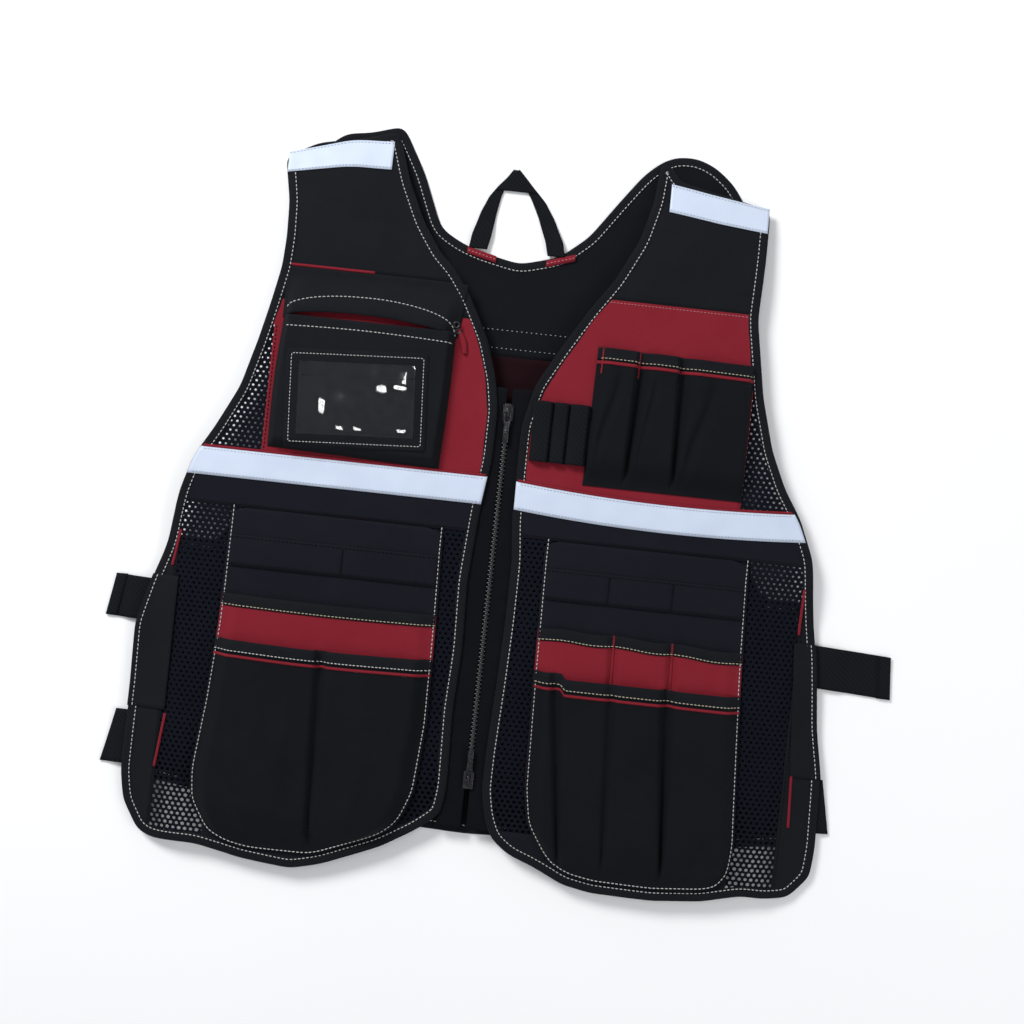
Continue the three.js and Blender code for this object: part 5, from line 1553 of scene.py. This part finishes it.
def add_hanging_loop():
    """Webbing folded to a point, with red tabs that hold its feet."""
    rows = np.array(LOOP_ROWS)

    def edges(ups, columns):
        return [np.interp(ups, rows[:, 0], rows[:, k]) * LOOP_SPREAD + LOOP_X for k in columns]

    ups = np.linspace(0, 1, 40)
    ys = NECK_Y + ups * LOOP_HEIGHT
    for name, columns, lift, nodes in (("left", (1, 2), 0.0, ["hanging_loop"]), ("right", (3, 4), 0.15, [])):
        a, b = edges(ups, columns)
        grid = [np.column_stack([mix(a, b, v), ys, loop_height(ys) + 0.12 * math.cos(v * math.pi * 8) + lift])
                for v in np.linspace(0, 1, 9)]
        cloth_grid(f"hanging_loop_leg_{name}", np.array(grid).transpose(1, 0, 2), WEBBING, 1.5, nodes=nodes,
                   slot="webbing")
    ups = np.linspace(0.74, 1.0, 12)
    ys = NECK_Y + ups * LOOP_HEIGHT
    left, right = edges(ups, (1, 4))
    grid = [np.column_stack([mix(left, right, v), ys, loop_height(ys) + 0.9 + 0.3 * math.sin(math.pi * v)])
            for v in np.linspace(0, 1, 12)]
    cloth_grid("hanging_loop_fold", np.array(grid).transpose(1, 0, 2), WEBBING, 1.0, slot="webbing")
    for name, x0, x1, y0, y1 in (("left", -51, -25, 549.5, 543.5), ("right", 19, 44, 544.5, 552.5)):
        xs = np.linspace(x0, x1, 20)
        line = np.linspace(y0, y1, 20)
        tab = [np.column_stack([xs, line + d, back_top(xs, line) + lift + 1.0])
               for d, lift in ((-3.0, 0.6), (-1.5, 1.5), (1.5, 1.6), (3.2, 0.6))]
        cloth_grid(f"hanging_loop_tab_{name}", np.array(tab), RED_CLOTH, 0.8, slot="red_cloth")
        stitch("back", np.column_stack([xs, line]), back_top, THREAD_PINK, 3.0, 2.2, lift=2.7)


# Zip

def metal_block(name, size, centre, rounding, body="vest", nodes=(), taper=1.0):
    """A rounded block, with its far end narrower by the taper."""
    sx, sy, sz = (s / 2 for s in size)
    cx, cy, cz = centre
    corners = [(-sx, -sy), (sx, -sy), (sx * taper, sy), (-sx * taper, sy)]
    points = [(cx + x, cy + y, cz + z) for z in (-sz, sz) for x, y in corners]
    faces = [(3, 2, 1, 0), (4, 5, 6, 7), (0, 1, 5, 4), (1, 2, 6, 5), (2, 3, 7, 6), (3, 0, 4, 7)]
    bevel(piece(name, points, faces, ZIP_METAL, body=body, slot="zip_metal", nodes=nodes), rounding, 3)


TOOTH_PITCH = 3.6
TOOTH_OUTLINE = [
    (-2.9, -0.75), (-0.7, -0.95), (0.3, -1.25), (1.25, -0.9), (1.55, 0.0), (1.25, 0.9), (0.3, 1.25),
    (-0.7, 0.95), (-2.9, 0.75),
]
# Height of each level of a tooth, and its growth there
TOOTH_LEVELS = [(-1.2, 0.85), (-0.7, 1.0), (0.7, 1.0), (1.25, 0.72)]


def add_zip():
    """Two woven tapes, two rows of moulded teeth that mesh, and the sliders at both ends."""
    low, high = box_mm("zip_tape_left")
    for side, name in SIDES.items():
        xs = side * np.linspace(2.4, 24.0, 16)
        ys = np.linspace(low[1], high[1], 120)
        x, y = np.meshgrid(xs, ys)
        z = 12.9 + 0.25 * np.sin(y / 3.1) * clamp((np.abs(x) - 6) / 12) - 0.25 * clamp((8 - np.abs(x)) / 4)
        cloth_grid(f"zip_tape_cloth_{name}", np.stack([x, y, z], axis=-1), ZIP_TAPE, 0.8, ["back_lower"],
                   nodes=[f"zip_tape_{name}"], slot="webbing")
    points, faces = [], []
    first, last = SLIDER_BOTTOM_Y + 6, box_mm("zip_teeth")[1][1] - 6
    n = len(TOOTH_OUTLINE)
    for i in range(int((last - first) / TOOTH_PITCH)):
        for side in (-1, 1):
            y0 = first + (i + (0.5 if side > 0 else 0.0)) * TOOTH_PITCH
            base = len(points)
            for z, grow in TOOTH_LEVELS:
                for px, py in TOOTH_OUTLINE:
                    points.append((-side * px * grow, y0 + py * grow, 12.4 + z))
            tooth = [(a, b, b + n, a + n) for floor in range(base, base + 3 * n, n)
                     for a, b in ((floor + k, floor + (k + 1) % n) for k in range(n))]
            tooth.append(tuple(base + 3 * n + k for k in range(n)))
            tooth.append(tuple(base + k for k in reversed(range(n))))
            faces.extend(face if side < 0 else face[::-1] for face in tooth)
    piece("zip_teeth_moulded", points, faces, ZIP_CHAIN, nodes=["zip_teeth"], slot="zip_chain")
    for name, end in (("top", 1), ("bottom", -1)):
        add_slider(name, end)


def add_slider(name, end):
    low, high = box_mm(f"zip_slider_{name}")
    middle = (low[1] + high[1]) / 2
    width, length = high[0] - low[0], high[1] - low[1]
    metal_block(f"slider_upper_plate_{name}", (width, length, 1.3), (0, middle, 14.75), 0.5,
                nodes=[f"zip_slider_{name}"], taper=0.72 if end > 0 else 1.0)
    metal_block(f"slider_lower_plate_{name}", (width, length, 1.2), (0, middle, 10.1), 0.4)
    for side, side_name in SIDES.items():
        metal_block(f"slider_flange_{name}_{side_name}", (1.0, length * 0.8, 1.6),
                    (side * (width / 2 - 0.5), middle, 13.9), 0.3)
    # The bridge that carries the pull
    count = 18
    points = []
    for i in range(count + 1):
        a = math.pi * i / count
        for r, x in ((1.0, -1.0), (1.0, 1.0), (0.72, 1.0), (0.72, -1.0)):
            points.append((x, middle + 5.5 * r * math.cos(a), 15.2 + 3.7 * r * math.sin(a) ** 0.7))
    faces = grid_faces(count + 1, 4, closed=True).tolist()
    faces += [(3, 2, 1, 0), tuple(count * 4 + k for k in range(4))]
    bevel(piece(f"slider_bridge_{name}", points, faces, ZIP_METAL, slot="zip_metal"), 0.25, 2)
    add_pull(name, end, middle)


PULL_HALF = 3.0
PULL_OUTLINE = [
    (-PULL_HALF, 0), (-PULL_HALF, 9), (-2.3, 12), (-2.5, 24), (-2.0, 27.2), (0, 28), (2.0, 27.2), (2.5, 24),
    (2.3, 12), (PULL_HALF, 9), (PULL_HALF, 0),
]
PULL_EYE = [(-1.6, -0.2), (-1.6, 7.0), (-1.0, 8.4), (1.0, 8.4), (1.6, 7.0), (1.6, -0.2)]
PULL_POINTS = 60


def spread(path):
    """The path with as many points as the other outline of the pull."""
    wanted, places = np.linspace(0, 1, PULL_POINTS), np.linspace(0, 1, len(path))
    return sample(path, places, wanted)


def add_pull(name, end, middle):
    """A pressed tab with an eye round the bridge, and a grip with raised ribs."""
    axis_z = box_mm(f"zip_pull_{name}")[0][2] + 0.7
    way = -end
    body = f"pull_{name}"
    outer = spread(resample(soften(np.array(PULL_OUTLINE, float), 0.6, 0.8), 0.5))
    inner = spread(soften(np.array(PULL_EYE, float), 0.4, 0.5))
    count = PULL_POINTS
    rings = [np.column_stack([path[:, 0], middle + way * path[:, 1], np.full(count, axis_z + z)])
             for path, z in ((inner, 0.5), (inner, -0.5), (outer, -0.6), (outer, 0.6))]
    faces = []
    for a in range(0, 4 * count, count):
        b = (a + count) % (4 * count)
        faces += [(a + k, a + k + 1, b + k + 1, b + k) for k in range(count - 1)]
    faces += [(3 * count, 2 * count, count, 0), tuple(i * count + count - 1 for i in range(4))]
    if way < 0:
        faces = [face[::-1] for face in faces]
    tab = piece(f"pull_tab_{name}", np.concatenate(rings), faces, ZIP_METAL, body=body,
                nodes=[f"zip_pull_{name}"], slot="zip_metal")
    bevel(tab, 0.2, 2).limit_method = "ANGLE"
    corners = [2 * math.pi * k / 12 for k in range(12)]
    points = [(x, middle + 0.65 * math.cos(a), axis_z + 0.65 * math.sin(a))
              for x in np.linspace(-PULL_HALF, PULL_HALF, 5) for a in corners]
    faces = [face[::-1] for face in grid_faces(5, 12, closed=True).tolist()]
    faces += [tuple(range(12)), tuple(48 + k for k in reversed(range(12)))]
    piece(f"pull_bar_{name}", points, faces, ZIP_METAL, body=body, slot="zip_metal")
    for i in range(5):
        y = middle + way * (14.5 + 2.2 * i)
        metal_block(f"pull_rib_{name}_{i}", (3.6, 0.9, 0.7), (0, y, axis_z + 0.7), 0.3, body=body)


# The floor, the light and the camera

FRAME_WIDTH = 891 * MM
PHOTO_TURN = math.radians(6.2)
CAMERA_AT = (-1.2 * MM, 1.0 * MM)
LENS = 50.0


FLOOR_HALF = 4.0


def add_stage():
    material, tree, where = shader("pale_floor", (0.86, 0.86, 0.87), 0.9, 0.0, 0.1)
    color_by(tree, noise(tree, where, 3), (0.85, 0.85, 0.86), (0.88, 0.88, 0.885))
    corners = [(x * FLOOR_HALF, y * FLOOR_HALF, 0) for x, y in ((-1, -1), (1, -1), (1, 1), (-1, 1))]
    mesh = bpy.data.meshes.new("floor")
    mesh.from_pydata(corners, [], [(0, 1, 2, 3)])
    mesh.materials.append(material)
    floor = bpy.data.objects.new("floor", mesh)
    bpy.context.scene.collection.objects.link(floor)


def add_light(name, place, size, power):
    """A round area light that faces the middle of the floor."""
    data = bpy.data.lights.new(name, "AREA")
    data.shape = "DISK"
    data.size = size
    data.energy = power
    light = bpy.data.objects.new(name, data)
    light.location = place
    light.rotation_mode = "QUATERNION"
    light.rotation_quaternion = (-Vector(place)).to_track_quat("-Z", "Y")
    bpy.context.scene.collection.objects.link(light)


def add_lights():
    world = bpy.data.worlds.new("studio")
    world.use_nodes = True
    background = world.node_tree.nodes["Background"]
    background.inputs["Color"].default_value = (0.95, 0.97, 1.0, 1)
    background.inputs["Strength"].default_value = 0.48
    bpy.context.scene.world = world
    add_light("key", (-1.3, 1.3, 1.5), 0.8, 50)
    add_light("fill", (1.6, -0.6, 1.5), 1.4, 14)
    add_light("glint", GLINT_LIGHT, 0.12, 1.6)


def add_camera():
    data = bpy.data.cameras.new("camera")
    data.lens = LENS
    camera = bpy.data.objects.new("camera", data)
    distance = FRAME_WIDTH * LENS / data.sensor_width
    camera.location = (CAMERA_AT[0], CAMERA_AT[1], distance + FRONT_Z * MM)
    camera.rotation_euler = (0, 0, PHOTO_TURN)
    data.clip_start = 0.01
    data.clip_end = 100
    bpy.context.scene.collection.objects.link(camera)
    bpy.context.scene.camera = camera


bpy.context.scene.view_settings.view_transform = "Standard"
add_camera()
add_stage()
add_lights()
add_back()
add_straps()
add_fronts()
add_tapes()
add_lower_pockets()
add_yoke_bands()
add_chest_pocket()
add_tool_pocket()
add_patches()
add_hanging_loop()
add_zip()
sew()
